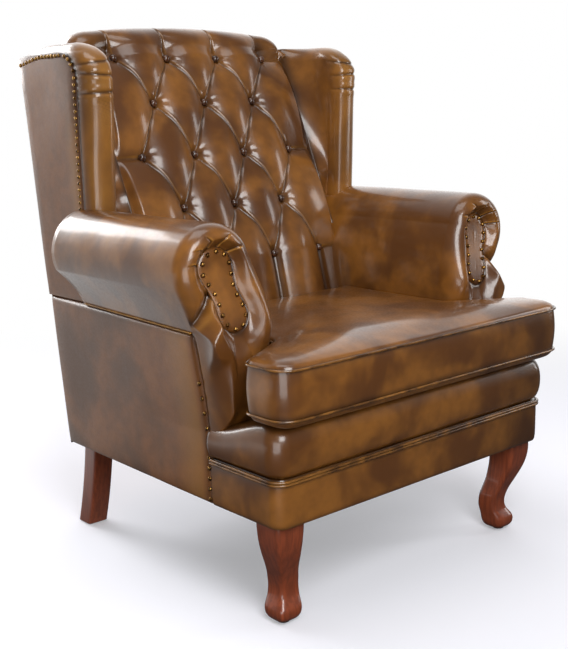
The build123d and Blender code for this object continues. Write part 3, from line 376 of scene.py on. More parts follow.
def lacquered_wood(name, light, dark, gloss, grain_width, coat):
    """Wood with upright grain. Grain width is the distance between two dark lines, in metres."""
    finish, tree, output, place = new_finish(name)
    stretched = add_node(
        tree, "Mapping",
        {"Vector": place, "Scale": (1 / grain_width, 1 / grain_width, grain_stretch / grain_width)},
    ).outputs["Vector"]
    grain = add_node(
        tree, "TexNoise", {"Vector": stretched, "Scale": 1.0, "Detail": 4.0, "Distortion": 0.4},
    ).outputs["Fac"]
    lines = add_node(
        tree, "MapRange", {"Value": grain, "From Min": 0.38, "From Max": 0.64},
    ).outputs["Result"]
    colour = add_node(
        tree, "Mix", {mix_factor: lines, mix_first: linear(dark), mix_second: linear(light)},
        data_type="RGBA",
    ).outputs[mix_result]
    ridges = add_node(
        tree, "Bump", {"Strength": 0.1, "Distance": 0.0006, "Height": grain},
    ).outputs["Normal"]
    shader = add_node(
        tree, "BsdfPrincipled",
        {
            "Base Color": colour, "Roughness": gloss, "IOR": 1.5, "Normal": ridges,
            "Coat Weight": coat, "Coat Roughness": 0.1,
        },
    )
    tree.links.new(shader.outputs[0], output.inputs["Surface"])
    return finish


stained_birch = lacquered_wood("stained_birch", "#94482a", "#7a3a22", 0.32, 0.006, 0.8)
planed_beech = lacquered_wood("planed_beech", "#d9b384", "#b98a58", 0.6, 0.006, 0.0)
print("woods:", stained_birch.name, "and", planed_beech.name)

# %% Metal finish
def worn_metal(name, bright, dark, rough, patch_size):
    """Metal with patches of tarnish. Patch size is in metres."""
    finish, tree, output, place = new_finish(name)
    tarnish = add_node(
        tree, "TexNoise", {"Vector": place, "Scale": 1 / patch_size, "Detail": 3.0},
    ).outputs["Fac"]
    share = add_node(
        tree, "MapRange", {"Value": tarnish, "From Min": 0.4, "From Max": 0.62},
    ).outputs["Result"]
    colour = add_node(
        tree, "Mix", {mix_factor: share, mix_first: linear(bright), mix_second: linear(dark)},
        data_type="RGBA",
    ).outputs[mix_result]
    dull = add_node(
        tree, "MapRange", {"Value": tarnish, "To Min": rough - 0.06, "To Max": rough + 0.12},
    ).outputs["Result"]
    shader = add_node(
        tree, "BsdfPrincipled", {"Base Color": colour, "Metallic": 1.0, "Roughness": dull},
    )
    tree.links.new(shader.outputs[0], output.inputs["Surface"])
    return finish


pressed_brass = worn_metal("pressed_brass", "#b58a4a", "#4a3018", 0.26, 0.006)
oiled_wire = worn_metal("oiled_wire", "#8c8c90", "#4c4c50", 0.35, 0.012)
zip_zinc = worn_metal("zip_zinc", "#8a7350", "#4d3c26", 0.3, 0.008)
print("metals:", pressed_brass.name, oiled_wire.name, "and", zip_zinc.name)

# %% [markdown]
# Webbing, the dust cover and the zip's tape are plain weaves: to the eye, fine crossing ribs and no
# gloss. Foam is a pale sponge of small cells, and nylon glides are smooth and nearly black.

# %% Cloth, foam and nylon finishes
# A Wave node of scale 1 repeats every 0.314 m
wave_length = 0.314
cloth_roughness = 0.85


def woven_cloth(name, light, dark, thread):
    """Plain weave: two sets of bands cross at the thread's spacing, in metres."""
    finish, tree, output, place = new_finish(name)
    height = None
    for direction in ("X", "DIAGONAL"):
        bands = add_node(
            tree, "TexWave",
            {"Vector": place, "Scale": wave_length / thread, "Distortion": 0.4, "Detail": 1.0},
            bands_direction=direction,
        ).outputs["Fac"]
        if height is None:
            height = bands
        else:
            height = add_node(tree, "Math", {0: height, 1: bands}, operation="MULTIPLY").outputs[0]
    colour = add_node(
        tree, "Mix", {mix_factor: height, mix_first: linear(dark), mix_second: linear(light)},
        data_type="RGBA",
    ).outputs[mix_result]
    bump = add_node(tree, "Bump", {"Strength": 0.3, "Distance": 0.0008, "Height": height}).outputs["Normal"]
    shader = add_node(
        tree, "BsdfPrincipled", {"Base Color": colour, "Roughness": cloth_roughness, "Normal": bump},
    )
    tree.links.new(shader.outputs[0], output.inputs["Surface"])
    return finish


def moulded_foam(name, light, dark, cell, rough):
    """Open-celled foam or moulded nylon: small cells as dimples, their size in metres."""
    finish, tree, output, place = new_finish(name)
    cells = add_node(tree, "TexVoronoi", {"Vector": place, "Scale": 1 / cell}).outputs["Distance"]
    colour = add_node(
        tree, "Mix", {mix_factor: cells, mix_first: linear(dark), mix_second: linear(light)},
        data_type="RGBA",
    ).outputs[mix_result]
    bump = add_node(tree, "Bump", {"Strength": 0.4, "Distance": cell / 4, "Height": cells}).outputs["Normal"]
    shader = add_node(
        tree, "BsdfPrincipled", {"Base Color": colour, "Roughness": rough, "Normal": bump},
    )
    tree.links.new(shader.outputs[0], output.inputs["Surface"])
    return finish


jute_webbing = woven_cloth("jute_webbing", "#9c7f55", "#6c5232", 0.003)
dust_cloth = woven_cloth("dust_cloth", "#1d1d1f", "#0d0d0e", 0.0015)
zip_tape = woven_cloth("zip_tape", "#3c2a1c", "#20150d", 0.001)
seat_foam = moulded_foam("seat_foam", "#ece2c4", "#cdbf98", 0.0025, 0.9)
glide_nylon = moulded_foam("glide_nylon", "#2a2a2c", "#1a1a1b", 0.001, 0.45)
print(len(bpy.data.materials), "materials in the file, with the frame's own")

# %% [markdown]
# The frame's own solids keep their shape and only get a finish. Each node's slot in the record
# says which one it takes.

# %% Finishes of the frame
slot_finish = {
    "leather": hide, "leather_panel": panel_hide, "welt_leather": welt_hide,
    "stained_wood": stained_birch, "beech": planed_beech, "foam": seat_foam,
    "spring_steel": oiled_wire, "brass": pressed_brass, "webbing": jute_webbing,
    "black_cloth": dust_cloth, "zip_metal": zip_zinc, "zip_tape": zip_tape, "nylon": glide_nylon,
}
for part in frame["record"]["subparts"]:
    skin = frame["nodes"][part["node"]].data.materials
    skin.clear()
    skin.append(slot_finish[part["material_slot"]])
print(len(slot_finish), "slots finished")

# %% [markdown]
# A new piece is a set of rings of points, worked out as whole arrays. Next rings are joined by
# four-sided faces, so one function makes arms, wings, bands, legs and welts alike. It also turns
# the faces outwards: it adds up the volume under each face, and flips them all if the sum is
# negative.

# %% Mesh helpers
def put_piece(name, points, faces, finish, body, stands_for=(), shades=None, sharp=None):
    """Make a piece from points (n, 3) and groups of faces, arrays of corner numbers. Shades are
    point attributes for the finish. Sharp is the angle in degrees past which an edge stays sharp."""
    first = np.concatenate([group[:, :3] for group in faces])
    rest = [group[:, [0, 2, 3]] for group in faces if group.shape[1] == 4]
    three = np.concatenate([first, *rest])
    a, b, c = (points[three[:, k]] for k in range(3))
    if np.einsum("ij,ij->", a, np.cross(b, c)) < 0:
        faces = [group[:, ::-1] for group in faces]
    corners = np.concatenate([group.ravel() for group in faces])
    sides = np.concatenate([np.full(len(group), group.shape[1]) for group in faces])
    mesh = bpy.data.meshes.new(name)
    mesh.vertices.add(len(points))
    mesh.vertices.foreach_set("co", np.ascontiguousarray(points, dtype=np.float32).ravel())
    mesh.loops.add(len(corners))
    mesh.loops.foreach_set("vertex_index", corners.astype(np.int32))
    mesh.polygons.add(len(sides))
    mesh.polygons.foreach_set("loop_start", np.concatenate([[0], np.cumsum(sides)[:-1]]).astype(np.int32))
    mesh.update(calc_edges=True)
    mesh.validate()
    mesh.shade_smooth()
    if sharp is not None:
        mesh.set_sharp_from_angle(angle=math.radians(sharp))
    for word, values in (shades or {}).items():
        layer = mesh.attributes.new(word, "FLOAT", "POINT")
        layer.data.foreach_set("value", np.ascontiguousarray(values, dtype=np.float32).ravel())
    mesh.materials.append(finish)
    piece = bpy.data.objects.new(name, mesh)
    bpy.context.scene.collection.objects.link(piece)
    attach(piece, body)
    if stands_for:
        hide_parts(*stands_for)
    print(name, len(mesh.polygons), "faces")
    return piece


# %% Rings, fans and grids
def joined_rings(rings, around, hoop=False):
    """The four-sided faces between rings of points numbered ring by ring. A hoop's last ring is
    joined to its first."""
    i = np.arange(rings if hoop else rings - 1)[:, None]
    j = np.arange(around)[None, :]
    k, m = (i + 1) % rings, (j + 1) % around
    return np.stack([i * around + j, i * around + m, k * around + m, k * around + j], axis=-1).reshape(-1, 4)


def fan(loop, middle):
    """Triangles from a closed loop of point numbers to one more point."""
    return np.stack([loop, np.roll(loop, -1), np.full(len(loop), middle)], axis=1)


def ringed(rings):
    """Points and faces of a closed shape from rings (m, n, 3). A fan to the middle of the first
    and of the last ring shuts it."""
    m, n, _ = rings.shape
    points = np.concatenate([rings.reshape(-1, 3), rings[:1].mean(axis=1), rings[-1:].mean(axis=1)])
    ends = [fan(np.arange(n)[::-1], m * n), fan(np.arange(n) + (m - 1) * n, m * n + 1)]
    return points, [joined_rings(m, n), *ends]


def with_ends(values):
    """A shade for the points of rings, with none at the two middles of the fans."""
    return np.concatenate([values.ravel(), [0.0, 0.0]])


def grid_faces(rows, columns):
    """The four-sided faces of a grid of points numbered row by row, as (rows - 1, columns - 1, 4),
    and its rim as a closed loop of point numbers."""
    number = np.arange(rows * columns).reshape(rows, columns)
    quads = np.stack([number[:-1, :-1], number[:-1, 1:], number[1:, 1:], number[1:, :-1]], axis=-1)
    rim = np.concatenate([number[0, :-1], number[:-1, -1], number[-1, :0:-1], number[:0:-1, 0]])
    return quads, rim


def mirrored(points):
    """The same points on the other side of the chair."""
    return points * np.array([-1.0, 1.0, 1.0])


def put_pair(name, points, faces, finish, node=None, shades=None, sharp=None):
    """Make the piece on the right, and its mirror image on the left. Returns both."""
    return [
        put_piece(
            f"{name}_{side}", placed, faces, finish, "chair", [f"{node}_{side}"] if node else (),
            shades, sharp,
        )
        for side, placed in (("right", points), ("left", mirrored(points)))
    ]


print("a box of two rings of 4 has", sum(len(group) for group in ringed(np.zeros((2, 4, 3)))[1]), "faces")

# %% [markdown]
# The shapes are drawn with a few plain curves: an even run of points, a bend that leaves one point
# towards a second and arrives at a third, an arc of an ellipse, and a smooth step from 0 to 1. No
# hide lies quite even, and a sum of seeded sine waves gives that, the same each time.

# %% Curves and steps
def smooth(value, low, high):
    """0 below low, 1 above high, and 3t² - 2t³ between."""
    t = np.clip((value - low) / (high - low), 0, 1)
    return t * t * (3 - 2 * t)


def ripple(points, length, seed, waves=7):
    """A gentle unevenness from -1 to 1: the mean of sine waves that run in seeded directions, with
    wave lengths near the one given."""
    chance = np.random.default_rng(seed)
    directions = chance.normal(size=(waves, 3))
    directions = directions / np.linalg.norm(directions, axis=1, keepdims=True)
    lengths = length * chance.uniform(0.7, 1.5, waves)
    phases = chance.uniform(0, 2 * np.pi, waves)
    turns = 2 * np.pi * (points @ directions.T) / lengths + phases
    return np.sin(turns).mean(axis=-1)


def line_to(start, end, count):
    """Evenly spaced points from start up to, but not with, end."""
    share = np.arange(count)[:, None] / count
    return np.array(start) + (np.array(end) - np.array(start)) * share


def bend_to(start, control, end, count):
    """Points of a curve that leaves start towards the control point and arrives at end from it."""
    t = np.arange(count)[:, None] / count
    return (1 - t) ** 2 * np.array(start) + 2 * t * (1 - t) * np.array(control) + t ** 2 * np.array(end)


def arc_of(centre, radii, start, end, count):
    """Points of an ellipse's arc between two angles in degrees."""
    turn = np.radians(start + (end - start) * np.arange(count) / count)
    return np.array(centre) + np.stack([np.cos(turn), np.sin(turn)], axis=1) * np.array(radii)


print("a smooth step a quarter of the way through is at", smooth(0.25, 0, 1))

# %% [markdown]
# The inside back is deep buttoned. The upholsterer marks diamonds on the hide, pulls a button down
# at each corner of a diamond, and folds the spare leather into a pleat between two buttons, so
# that fat pillows stand between them. The surface is a function of column and row: half the gap
# between two buttons is one column, and a button sits where column + row is odd. Two sines, each
# zero along one set of slanting pleats, give the pillows. The same grid goes on over the top of
# the back as the crest roll, where the pleats fade out.

# %% Net of the buttoned back
button_gap = 0.06625
row_gap, side_gap, past_gap = 0.105, 0.05, 0.09
row_heights = np.array([0.573, 0.685, 0.790, 0.898, 0.991])
row_starts = (0.377, *row_heights)
lowest_row = -1.75
last_row, outer_column, side_column = 4.0, 3.0, 4.0
side_seam_x = 0.262
lowest_button_y = 0.122
rake, low_rake = math.radians(23.9), math.radians(14.0)
tuft_depth = 0.030
pleat_share = 0.62
pillow_power = 0.8
net_steps = 32
pleat_spacing = 0.112
side_pleat_spacing = 0.205
pleat_lift = 0.0065
button_seat = (0.003, 0.016)
fold_edge, fold_edge_away, fold_edge_width = 0.0007, 0.0034, 0.0020
fold_gap, fold_gap_away, fold_gap_width = 0.0036, 0.0004, 0.0017
ray_count, ray_height = 9, 0.0007


def button_plane_y(z):
    """How far back the buttons are pulled at height z: two slopes that meet at the lowest row."""
    rise = z - row_heights[0]
    return lowest_button_y + rise * np.where(rise > 0, math.tan(rake), math.tan(low_rake))


def from_pleat(turns, spacing):
    """The signed distance in metres to the nearest pleat, where turns counts whole pleats."""
    return (turns - np.round(turns)) * spacing


def fold(away):
    """The leather beside a pleat: a thin folded edge 3 mm to one side, and a narrow gap at 0. Both
    are bells, exp(-t²)."""
    edge = fold_edge * np.exp(-((away - fold_edge_away) / fold_edge_width) ** 2)
    gap = fold_gap * np.exp(-((away + fold_gap_away) / fold_gap_width) ** 2)
    return edge - gap


print("a pleat's gap is", round(float(-fold(0.0)) * 1000, 1), "mm deep")

# %% Pillows of the back
def pillows(column, row):
    """How far the leather stands off the button plane, in metres, and its two shades: painted shade
    in the pleats, beside them and in the button dimples, with the stain that lies there, and pale
    wear with a painted highlight on the pleats' folded edges. R and F are the two sines to the
    pillow power. The height is the tuft depth times p (R + F) + (1 - 2p) R F, so that a pleat's
    middle stands at the share p of a pillow's. Small rays of creased leather, a sine of the angle,
    leave each button."""
    side = np.clip(np.abs(column) - outer_column, 0, 1)
    past = np.clip(row - last_row, 0, None)
    column = np.clip(column, -outer_column, outer_column)
    row_in = np.clip(row, 0, last_row)
    rising, falling = (column + row_in + 1) / 2, (column - row_in + 1) / 2
    first = np.abs(np.sin(np.pi * rising)) ** pillow_power
    second = np.abs(np.sin(np.pi * falling)) ** pillow_power
    height = pleat_share * (first + second) + (1 - 2 * pleat_share) * first * second
    spread = np.where(side > 0, side_pleat_spacing, pleat_spacing)
    spread = np.where((row < 0) | (row > last_row), 2 * button_gap, spread)
    up_right, down_right = from_pleat(rising, spread), from_pleat(falling, spread)
    shape = button_gap / pleat_spacing
    across = (up_right + down_right) * shape
    along = (up_right - down_right) * row_gap / pleat_spacing
    away = np.hypot(across, along) + side * side_gap + past * past_gap
    seat = 0.25 + 0.75 * smooth(away, *button_seat)
    fold_share = smooth(away, 0.006, 0.022) * (1 - 0.75 * smooth(side, 0.05, 0.6))
    folds = np.minimum(fold(up_right), fold(-down_right)) + np.maximum(fold(up_right), fold(-down_right))
    rays = np.sin(ray_count * np.arctan2(along, across) + 2 * column + row)
    rays = rays * np.exp(-((away - 0.017) / 0.009) ** 2)
    rounded_side = 1 - 0.25 * side ** 2 - 0.55 * smooth(side, 0.75, 1.0)
    level = tuft_depth * (height * seat * rounded_side) + folds * fold_share + ray_height * rays
    # Painted shade: dark in each pleat's groove, a wider dusk beside it, and darkest in each button's dimple,
    # with the stain that lies there
    near = np.minimum(np.abs(up_right + 0.0006), np.abs(down_right - 0.0006))
    groove = np.exp(-(near / 0.0017) ** 2) * (0.30 + 0.5 * fold_share)
    dusk = 0.28 * np.exp(-(near / 0.012) ** 2)
    hollow = np.maximum(np.maximum(groove, dusk), 0.8 * np.exp(-(away / 0.013) ** 2))
    # A pale line along each pleat's folded edge: rubbed wear and a painted highlight
    rubbed = np.exp(-((up_right - fold_edge_away) / 0.0014) ** 2)
    rubbed = rubbed + np.exp(-((down_right + fold_edge_away) / 0.0014) ** 2)
    return level, hollow * (1 - 0.4 * smooth(past, 0.2, 0.9)), 0.55 * rubbed * fold_share * (1 - hollow)


pillow_top = pillows(np.array(0.0), np.array(2.0))[0]
print("a pillow stands", round(float(pillow_top) * 1000, 1), "mm off the button plane")

# %% [markdown]
# Over the top the net bends round the crest. Its outline there is an ellipse round a centre line,
# and the ellipse gets lower towards the ends, which gives the back its arched top. Beyond the
# inside back the last columns turn: below the crest they run back as the pad's side walls, and on
# the crest they go on outwards as its ends over the wings. One fan inside the chair shuts the rear.

# %% Front of the inside back
crest_middle_y, crest_middle_z = 0.352, 1.0005
crest_round = 0.0610
crest_drop = 0.0175
crest_half_width = 0.286
crest_end = 0.80
crest_row_length = 0.093
pad_rear = ((0.450, 0.985), (0.163, 0.372))
crest_line_rows, crest_arc_rows, crest_tail_rows = 8, 48, 4
crest_tail = (0.407, 0.985)
crest_start_y = button_plane_y(row_heights[-1]) - tuft_depth * math.cos(rake)
crest_start_z = row_heights[-1] + tuft_depth * math.sin(rake)
ear_columns = 16
inside_back_middle = (0.0, 0.30, 0.70)


def net_columns():
    """The column of each line of the grid, how far past the side it lies, from -1 to 1, and its x."""
    inner = np.arange(-side_column, side_column + 0.5 / net_steps, 1 / net_steps)
    ear = np.arange(1, ear_columns + 1) / ear_columns
    column = np.concatenate([np.full(ear_columns, -side_column), inner, np.full(ear_columns, side_column)])
    past_side = np.concatenate([-ear[::-1], 0 * inner, ear])
    wide = outer_column * button_gap
    side = np.clip(np.abs(column) - outer_column, 0, 1)
    x = np.sign(column) * np.minimum(np.abs(column) * button_gap, wide + side * (side_seam_x - wide))
    return column, past_side, x


def front_rows(column, past_side, x):
    """The grid in front of the back, with its two shades and its rows. The pillows stand off the
    button plane at right angles to its lean, and rise a little between two rows of buttons."""
    rows = np.arange(lowest_row, last_row + 0.5 / net_steps, 1 / net_steps)
    column_grid, row_grid = np.meshgrid(column, rows)
    level, hollow, rubbed = pillows(column_grid, row_grid)
    z = np.interp(rows, [lowest_row, 0, 1, 2, 3, 4], row_starts)[:, None] + 0 * column_grid
    y = button_plane_y(z)
    lean = low_rake + (rake - low_rake) * smooth(row_grid, -0.3, 0.3)
    bow = pleat_lift * np.sin(np.pi * column_grid) ** 2 * np.sin(np.pi * np.clip(row_grid, 0, 4)) ** 2
    bow = bow * (np.abs(column_grid) < outer_column)
    front_y = y - level * np.cos(lean) + bow * np.sin(lean)
    front_z = z + level * np.sin(lean) + bow * np.cos(lean)
    wall = np.abs(past_side)[None, :]
    rear_y = np.interp(z, *pad_rear)
    front = np.stack([x[None, :] + 0 * z, front_y + (rear_y - front_y) * wall, front_z], axis=-1)
    return front, hollow, rubbed, column_grid, row_grid


print("net:", len(net_columns()[0]), "columns")

# %% Rows over the crest
def crest_lines(past_side, crest_x, last_y):
    """The (y, z) lines over the crest before they are sunk: a short straight climb from the last row
    of the front, the ellipse over the top, and down behind. Also the climb's shares and the angle
    that the leather has turned at each row."""
    share = np.abs(crest_x) / crest_half_width
    end_share = np.clip((share - crest_end) / (1 - crest_end), 0, 1)
    end_round = np.sqrt(np.clip(1 - end_share ** 2.4, 0, 1))
    high = (crest_round - crest_drop * share ** 2) * (0.02 + 0.98 * end_round)
    deep = crest_round * (1 - 0.4 * share ** 4) * (0.30 + 0.70 * end_round)
    turn = np.linspace(rake, np.pi, crest_arc_rows)[:, None]
    deep_here = np.where(turn < np.pi / 2, deep, crest_round * (0.30 + 0.70 * end_round))
    arc_y = crest_middle_y - deep_here * np.cos(turn)
    arc_z = crest_middle_z + high * np.sin(turn)
    climb = (np.arange(1, crest_line_rows) / crest_line_rows)[:, None]
    foot_y = crest_start_y + (last_y - crest_start_y) * np.abs(past_side)
    climb_y = foot_y + (arc_y[0] - foot_y) * climb
    climb_z = crest_start_z + (arc_z[0] - crest_start_z) * climb
    down = (np.arange(1, crest_tail_rows + 1) / crest_tail_rows)[:, None]
    tail_y = arc_y[-1] + (crest_tail[0] - arc_y[-1]) * down
    tail_z = arc_z[-1] + (crest_tail[1] - arc_z[-1]) * down
    turns = np.concatenate([np.full(crest_line_rows - 1, rake), turn[:, 0], np.full(crest_tail_rows, np.pi)])
    return np.concatenate([climb_y, arc_y, tail_y]), np.concatenate([climb_z, arc_z, tail_z]), climb, turns


def crest_rows(column, past_side, x, last_y):
    """The grid over the crest, with its two shades. The pleats of the last row of buttons fade out
    as exp(-t²) with the way over the crest, and a seam stays where each of them was."""
    end_width = crest_half_width - side_seam_x
    crest_x = x + np.sign(past_side) * end_width * np.sin(np.pi / 2 * np.abs(past_side))
    outer_y, outer_z, climb, turns = crest_lines(past_side, crest_x, last_y)
    middle = len(column) // 2
    step_y = np.diff(outer_y[:, middle], prepend=crest_start_y)
    step_z = np.diff(outer_z[:, middle], prepend=crest_start_z)
    far = np.cumsum(np.hypot(step_y, step_z))[:, None]
    row = last_row + far / crest_row_length
    level, hollow, rubbed = pillows(column[None, :] + 0 * far, row)
    fade = np.exp(-(far / 0.050) ** 2)
    away = from_pleat((column + last_row + 1) / 2, 2 * button_gap)[None, :]
    within = np.abs(past_side) < 0.01
    seam_share = (1 - smooth(far, 0.10, 0.17)) * within
    sink = (tuft_depth - level) * fade + (1 - fade) * seam_share * (0.0008 - fold(away) * 0.7)
    edge = np.clip(np.abs(column) - outer_column, 0, 1) * within
    sink = sink * (1 - edge * smooth(far, 0.0, 0.03)) * (past_side == 0)
    outer_y = outer_y + sink * np.cos(turns)[:, None]
    outer_z = outer_z - sink * np.sin(turns)[:, None]
    spread = np.concatenate([climb[:, 0] ** 0.5, np.ones(len(outer_y) - len(climb))])[:, None]
    crest = np.stack([x + (crest_x - x) * spread + 0 * outer_y, outer_y, outer_z], axis=-1)
    # The pleats' painted shade and painted highlight fade out over the crest
    shade = (1 - smooth(far, 0.09, 0.16)) * within
    return crest, hollow * shade, rubbed * shade


print("crest:", crest_line_rows - 1 + crest_arc_rows + crest_tail_rows, "rows")

# %% Inside back and crest
def buttoned_back():
    """Points, faces and shades of the inside back and the crest. The grid's rows climb the back and
    go over the crest, and its columns run from side to side. Each quad is cut along the pleat that
    is nearer to it, so that the pleats stay crisp."""
    column, past_side, x = net_columns()
    front, hollow, rubbed, column_grid, row_grid = front_rows(column, past_side, x)
    crest, crest_stain_and_shade, crest_wear_and_highlight = crest_rows(column, past_side, x, front[-1, :, 1])
    grid = np.concatenate([front, crest])
    m, n, _ = grid.shape
    quads, rim = grid_faces(m, n)
    plain = 0 * crest[:, :-1, 0]
    rise_cut = np.concatenate([row_grid[:-1, :-1] + column_grid[:-1, :-1], plain])
    fall_cut = np.concatenate([column_grid[:-1, :-1] - row_grid[:-1, :-1], plain + 0.5])
    along_fall = np.abs(np.sin(np.pi * (fall_cut + 1) / 2)) < np.abs(np.sin(np.pi * (rise_cut + 1) / 2))
    one, other = quads[along_fall], quads[~along_fall]
    triangles = np.concatenate([
        one[:, [0, 1, 2]], one[:, [0, 2, 3]], other[:, [0, 1, 3]], other[:, [1, 2, 3]],
    ])
    points = np.concatenate([grid.reshape(-1, 3), [inside_back_middle]])
    shades = {
        "hollow": np.append(np.concatenate([hollow, crest_stain_and_shade]), 0.0),
        "rubbed": np.append(np.concatenate([rubbed, crest_wear_and_highlight]), 0.0),
    }
    return points, [triangles, fan(rim[::-1], m * n)], shades


points, faces, shades = buttoned_back()
points[:, 1:] += 0.0006 * ripple(points, 0.09, 3)[:, None]
inside_back = put_piece(
    "buttoned_back", points, faces, hide, "chair", ["tufted_back", "crest_roll"], shades,
)

# %% [markdown]
# Each button is a small brass dome covered with the same leather, pulled into its dimple by a
# twine. A domed head is also what the nails have, so one function makes many heads at once: rings
# whose radius and height follow a quarter turn, with a point on top and one below.

# %% Domed heads
def domed_heads(centres, outward, radius, height, sides, levels):
    """Points and faces of many heads. Each stands at a centre and faces its outward direction. A
    ring at the angle t has the radius cos t and the height sin t."""
    centres, outward = np.atleast_2d(centres), np.broadcast_to(outward, np.shape(np.atleast_2d(centres)))
    count = len(centres)
    helper = np.where(np.abs(outward[:, 2:]) > 0.9, [[1.0, 0, 0]], [[0, 0, 1.0]])
    first = np.cross(outward, helper)
    first = first / np.linalg.norm(first, axis=1, keepdims=True)
    second = np.cross(outward, first)
    turn = 2 * np.pi * np.arange(sides) / sides
    tilt = np.pi / 2 * np.arange(levels) / levels
    flat = radius * np.cos(tilt)[:, None, None] * np.stack([np.cos(turn), np.sin(turn)], axis=-1)[None]
    rings = (
        centres[:, None, None, :]
        + flat[None, :, :, :1] * first[:, None, None, :]
        + flat[None, :, :, 1:] * second[:, None, None, :]
        + (height * np.sin(tilt))[None, :, None, None] * outward[:, None, None, :]
    )
    tops = centres + outward * height
    points = np.concatenate([rings.reshape(count, -1, 3), tops[:, None], centres[:, None]], axis=1)
    each = levels * sides + 2
    shift = (np.arange(count) * each)[:, None, None]
    quads = joined_rings(levels, sides)[None] + shift
    top = fan(np.arange(sides) + (levels - 1) * sides, levels * sides)[None] + shift
    foot = fan(np.arange(sides)[::-1], levels * sides + 1)[None] + shift
    return points.reshape(-1, 3), [quads.reshape(-1, 4), top.reshape(-1, 3), foot.reshape(-1, 3)]


button_lift = 0.0050
button_radius, button_height = 0.0085, 0.0085
button_sides, button_levels = 20, 6
button_outward = np.array([0, -math.cos(rake), math.sin(rake)])
places = np.array([
    (column * button_gap, button_plane_y(height), height)
    for row, height in enumerate(row_heights)
    for column in range(-3, 4)
    if (column + row) % 2
])
points, faces = domed_heads(
    places + button_outward * button_lift, button_outward, button_radius, button_height,
    button_sides, button_levels,
)
put_piece("leather_buttons", points, faces, button_hide, "chair", ["back_buttons"])
print(len(places), "buttons")

# %% [markdown]
# An arm is a scroll: a board cut to its outline, padded and covered by one piece of leather that
# is drawn over the roll, folded round the front edge and pleated under a keyhole facing. The
# outline is a closed line of points: a curve up from the seam, an arc over the roll and a curve
# down the inside. Rings of that line run forwards along the arm, and then shrink onto the facing,
# bulging forwards as they go.

# %% Outline of the arm
nail_line_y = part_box("lower_band")[1][1]
seam_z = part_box("outside_arm_right")[1][2]
base_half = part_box("lower_band")[1][0]
base_half_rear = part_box("outside_back")[1][0]
arm_rear_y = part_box("arm_pad_right")[1][1]
rail_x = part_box("side_rail_right")[1][0]
stump_z = 0.330
arm_inner_x = 0.240
roll_x, roll_z, roll_radius = 0.348, 0.622, 0.079
roll_start, roll_end = -25, 165
arm_floor, inner_bend_z = 0.300, 0.500
seam_flare_front, seam_flare_rear = 0.028, 0.003
base_rear_y = 0.312
foot_count, under_count, roll_count, inner_count, low_count, bottom_count = 40, 30, 150, 44, 34, 18


def seam_x(y):
    """How far out the seam under the roll lies: it draws in by a straight line towards the rear."""
    share = (y - nail_line_y) / (base_rear_y - nail_line_y)
    front, rear = base_half + seam_flare_front, base_half_rear + seam_flare_rear
    return front + (rear - front) * share


def on_roll(angle):
    """The (x, z) point of the roll at an angle in degrees, from the outer side over the top."""
    turn = math.radians(angle)
    return roll_x + roll_radius * math.cos(turn), roll_z + roll_radius * math.sin(turn)


def arm_outline(y, stump):
    """The closed (x, z) outline at y. With stump it goes down over the outside of the arm's front,
    and without it the outside ends in the seam and steps in to the rail."""
    seam = (seam_x(y), seam_z)
    bend = (arm_inner_x, inner_bend_z)
    bottom = stump_z if stump else arm_floor
    outer_foot = (base_half, stump_z) if stump else (rail_x, bottom)
    outside = (
        bend_to(outer_foot, (base_half + 0.006, stump_z + 0.09), seam, foot_count) if stump
        else np.concatenate([
            line_to(outer_foot, (rail_x, seam_z - 0.004), foot_count - 8),
            line_to((rail_x, seam_z - 0.004), seam, 8),
        ])
    )
    return np.concatenate([
        outside,
        bend_to(seam, (seam[0] + 0.012, seam_z + 0.032), on_roll(roll_start), under_count),
        arc_of((roll_x, roll_z), (roll_radius, roll_radius), roll_start, roll_end, roll_count),
        bend_to(on_roll(roll_end), (arm_inner_x - 0.001, 0.578), bend, inner_count),
        line_to(bend, (arm_inner_x, bottom), low_count),
        line_to((arm_inner_x, bottom), outer_foot, bottom_count),
    ])


print("arm's outline:", len(arm_outline(nail_line_y, stump=True)), "points")

# %% [markdown]
# On the arm's front the leather is pleated by hand: the spare hide of the round roll is gathered
# into folds that run to the facing, like the spokes of a fan. Its depth is a sum of a few plain
# forms: a round edge, a belly low down, the pleats, and one fold behind the stump.

# %% The arm's front
facing_head, facing_head_radius = np.array([0.343, 0.622]), 0.037
facing_tail, facing_tail_radius = np.array([0.324, 0.543]), 0.031
facing_waist = 0.006
facing_rise, facing_depth = 0.012, 0.004
front_steps = 56
sausage_depth, sausage_valley, belly_depth = 0.032, 0.022, 0.030
stump_swelling, swelling_z, swelling_height = 0.008, 0.494, 0.032
fold_start, fold_end = np.array([0.361, 0.580]), np.array([0.398, 0.525])
edge_round_high, pleat_valley = 0.028, 0.0022
arm_end_sink = 0.012
body_rings = 46
head_pleats = (15.0, 45.0, 71.0, 100.0, 135.0)
pleat_hooks = (-4.0, -13.0, -9.0, 12.0, 9.0)


def onto_facing(outline, inset=0.0):
    """For each point of an outline, the nearest point of the facing's edge, or of a line inside it:
    the facing is a line between two circle centres, thickened from one radius to the other and
    drawn in at its waist by a sine squared."""
    line = facing_tail - facing_head
    share = np.clip((outline - facing_head) @ line / (line @ line), 0, 1)[:, None]
    centre = facing_head + line * share
    radius = facing_head_radius + (facing_tail_radius - facing_head_radius) * share
    radius = radius - facing_waist * np.sin(np.pi * share) ** 2 - inset
    away = outline - centre
    return centre + away / np.linalg.norm(away, axis=1, keepdims=True) * radius


def belly_share(x, z):
    """How much of the belly's depth the stump has at (x, z), also under the facing's tail. It is
    less towards the seat, where the cushion lies before it, and at the foot."""
    seat_side = smooth(0.325 - x, 0, 0.08) * smooth(0.54 - z, 0, 0.09)
    return smooth(0.640 - z, 0, 0.14) * (1 - 0.7 * seat_side) * (1 - 0.6 * smooth(0.43 - z, 0, 0.09))


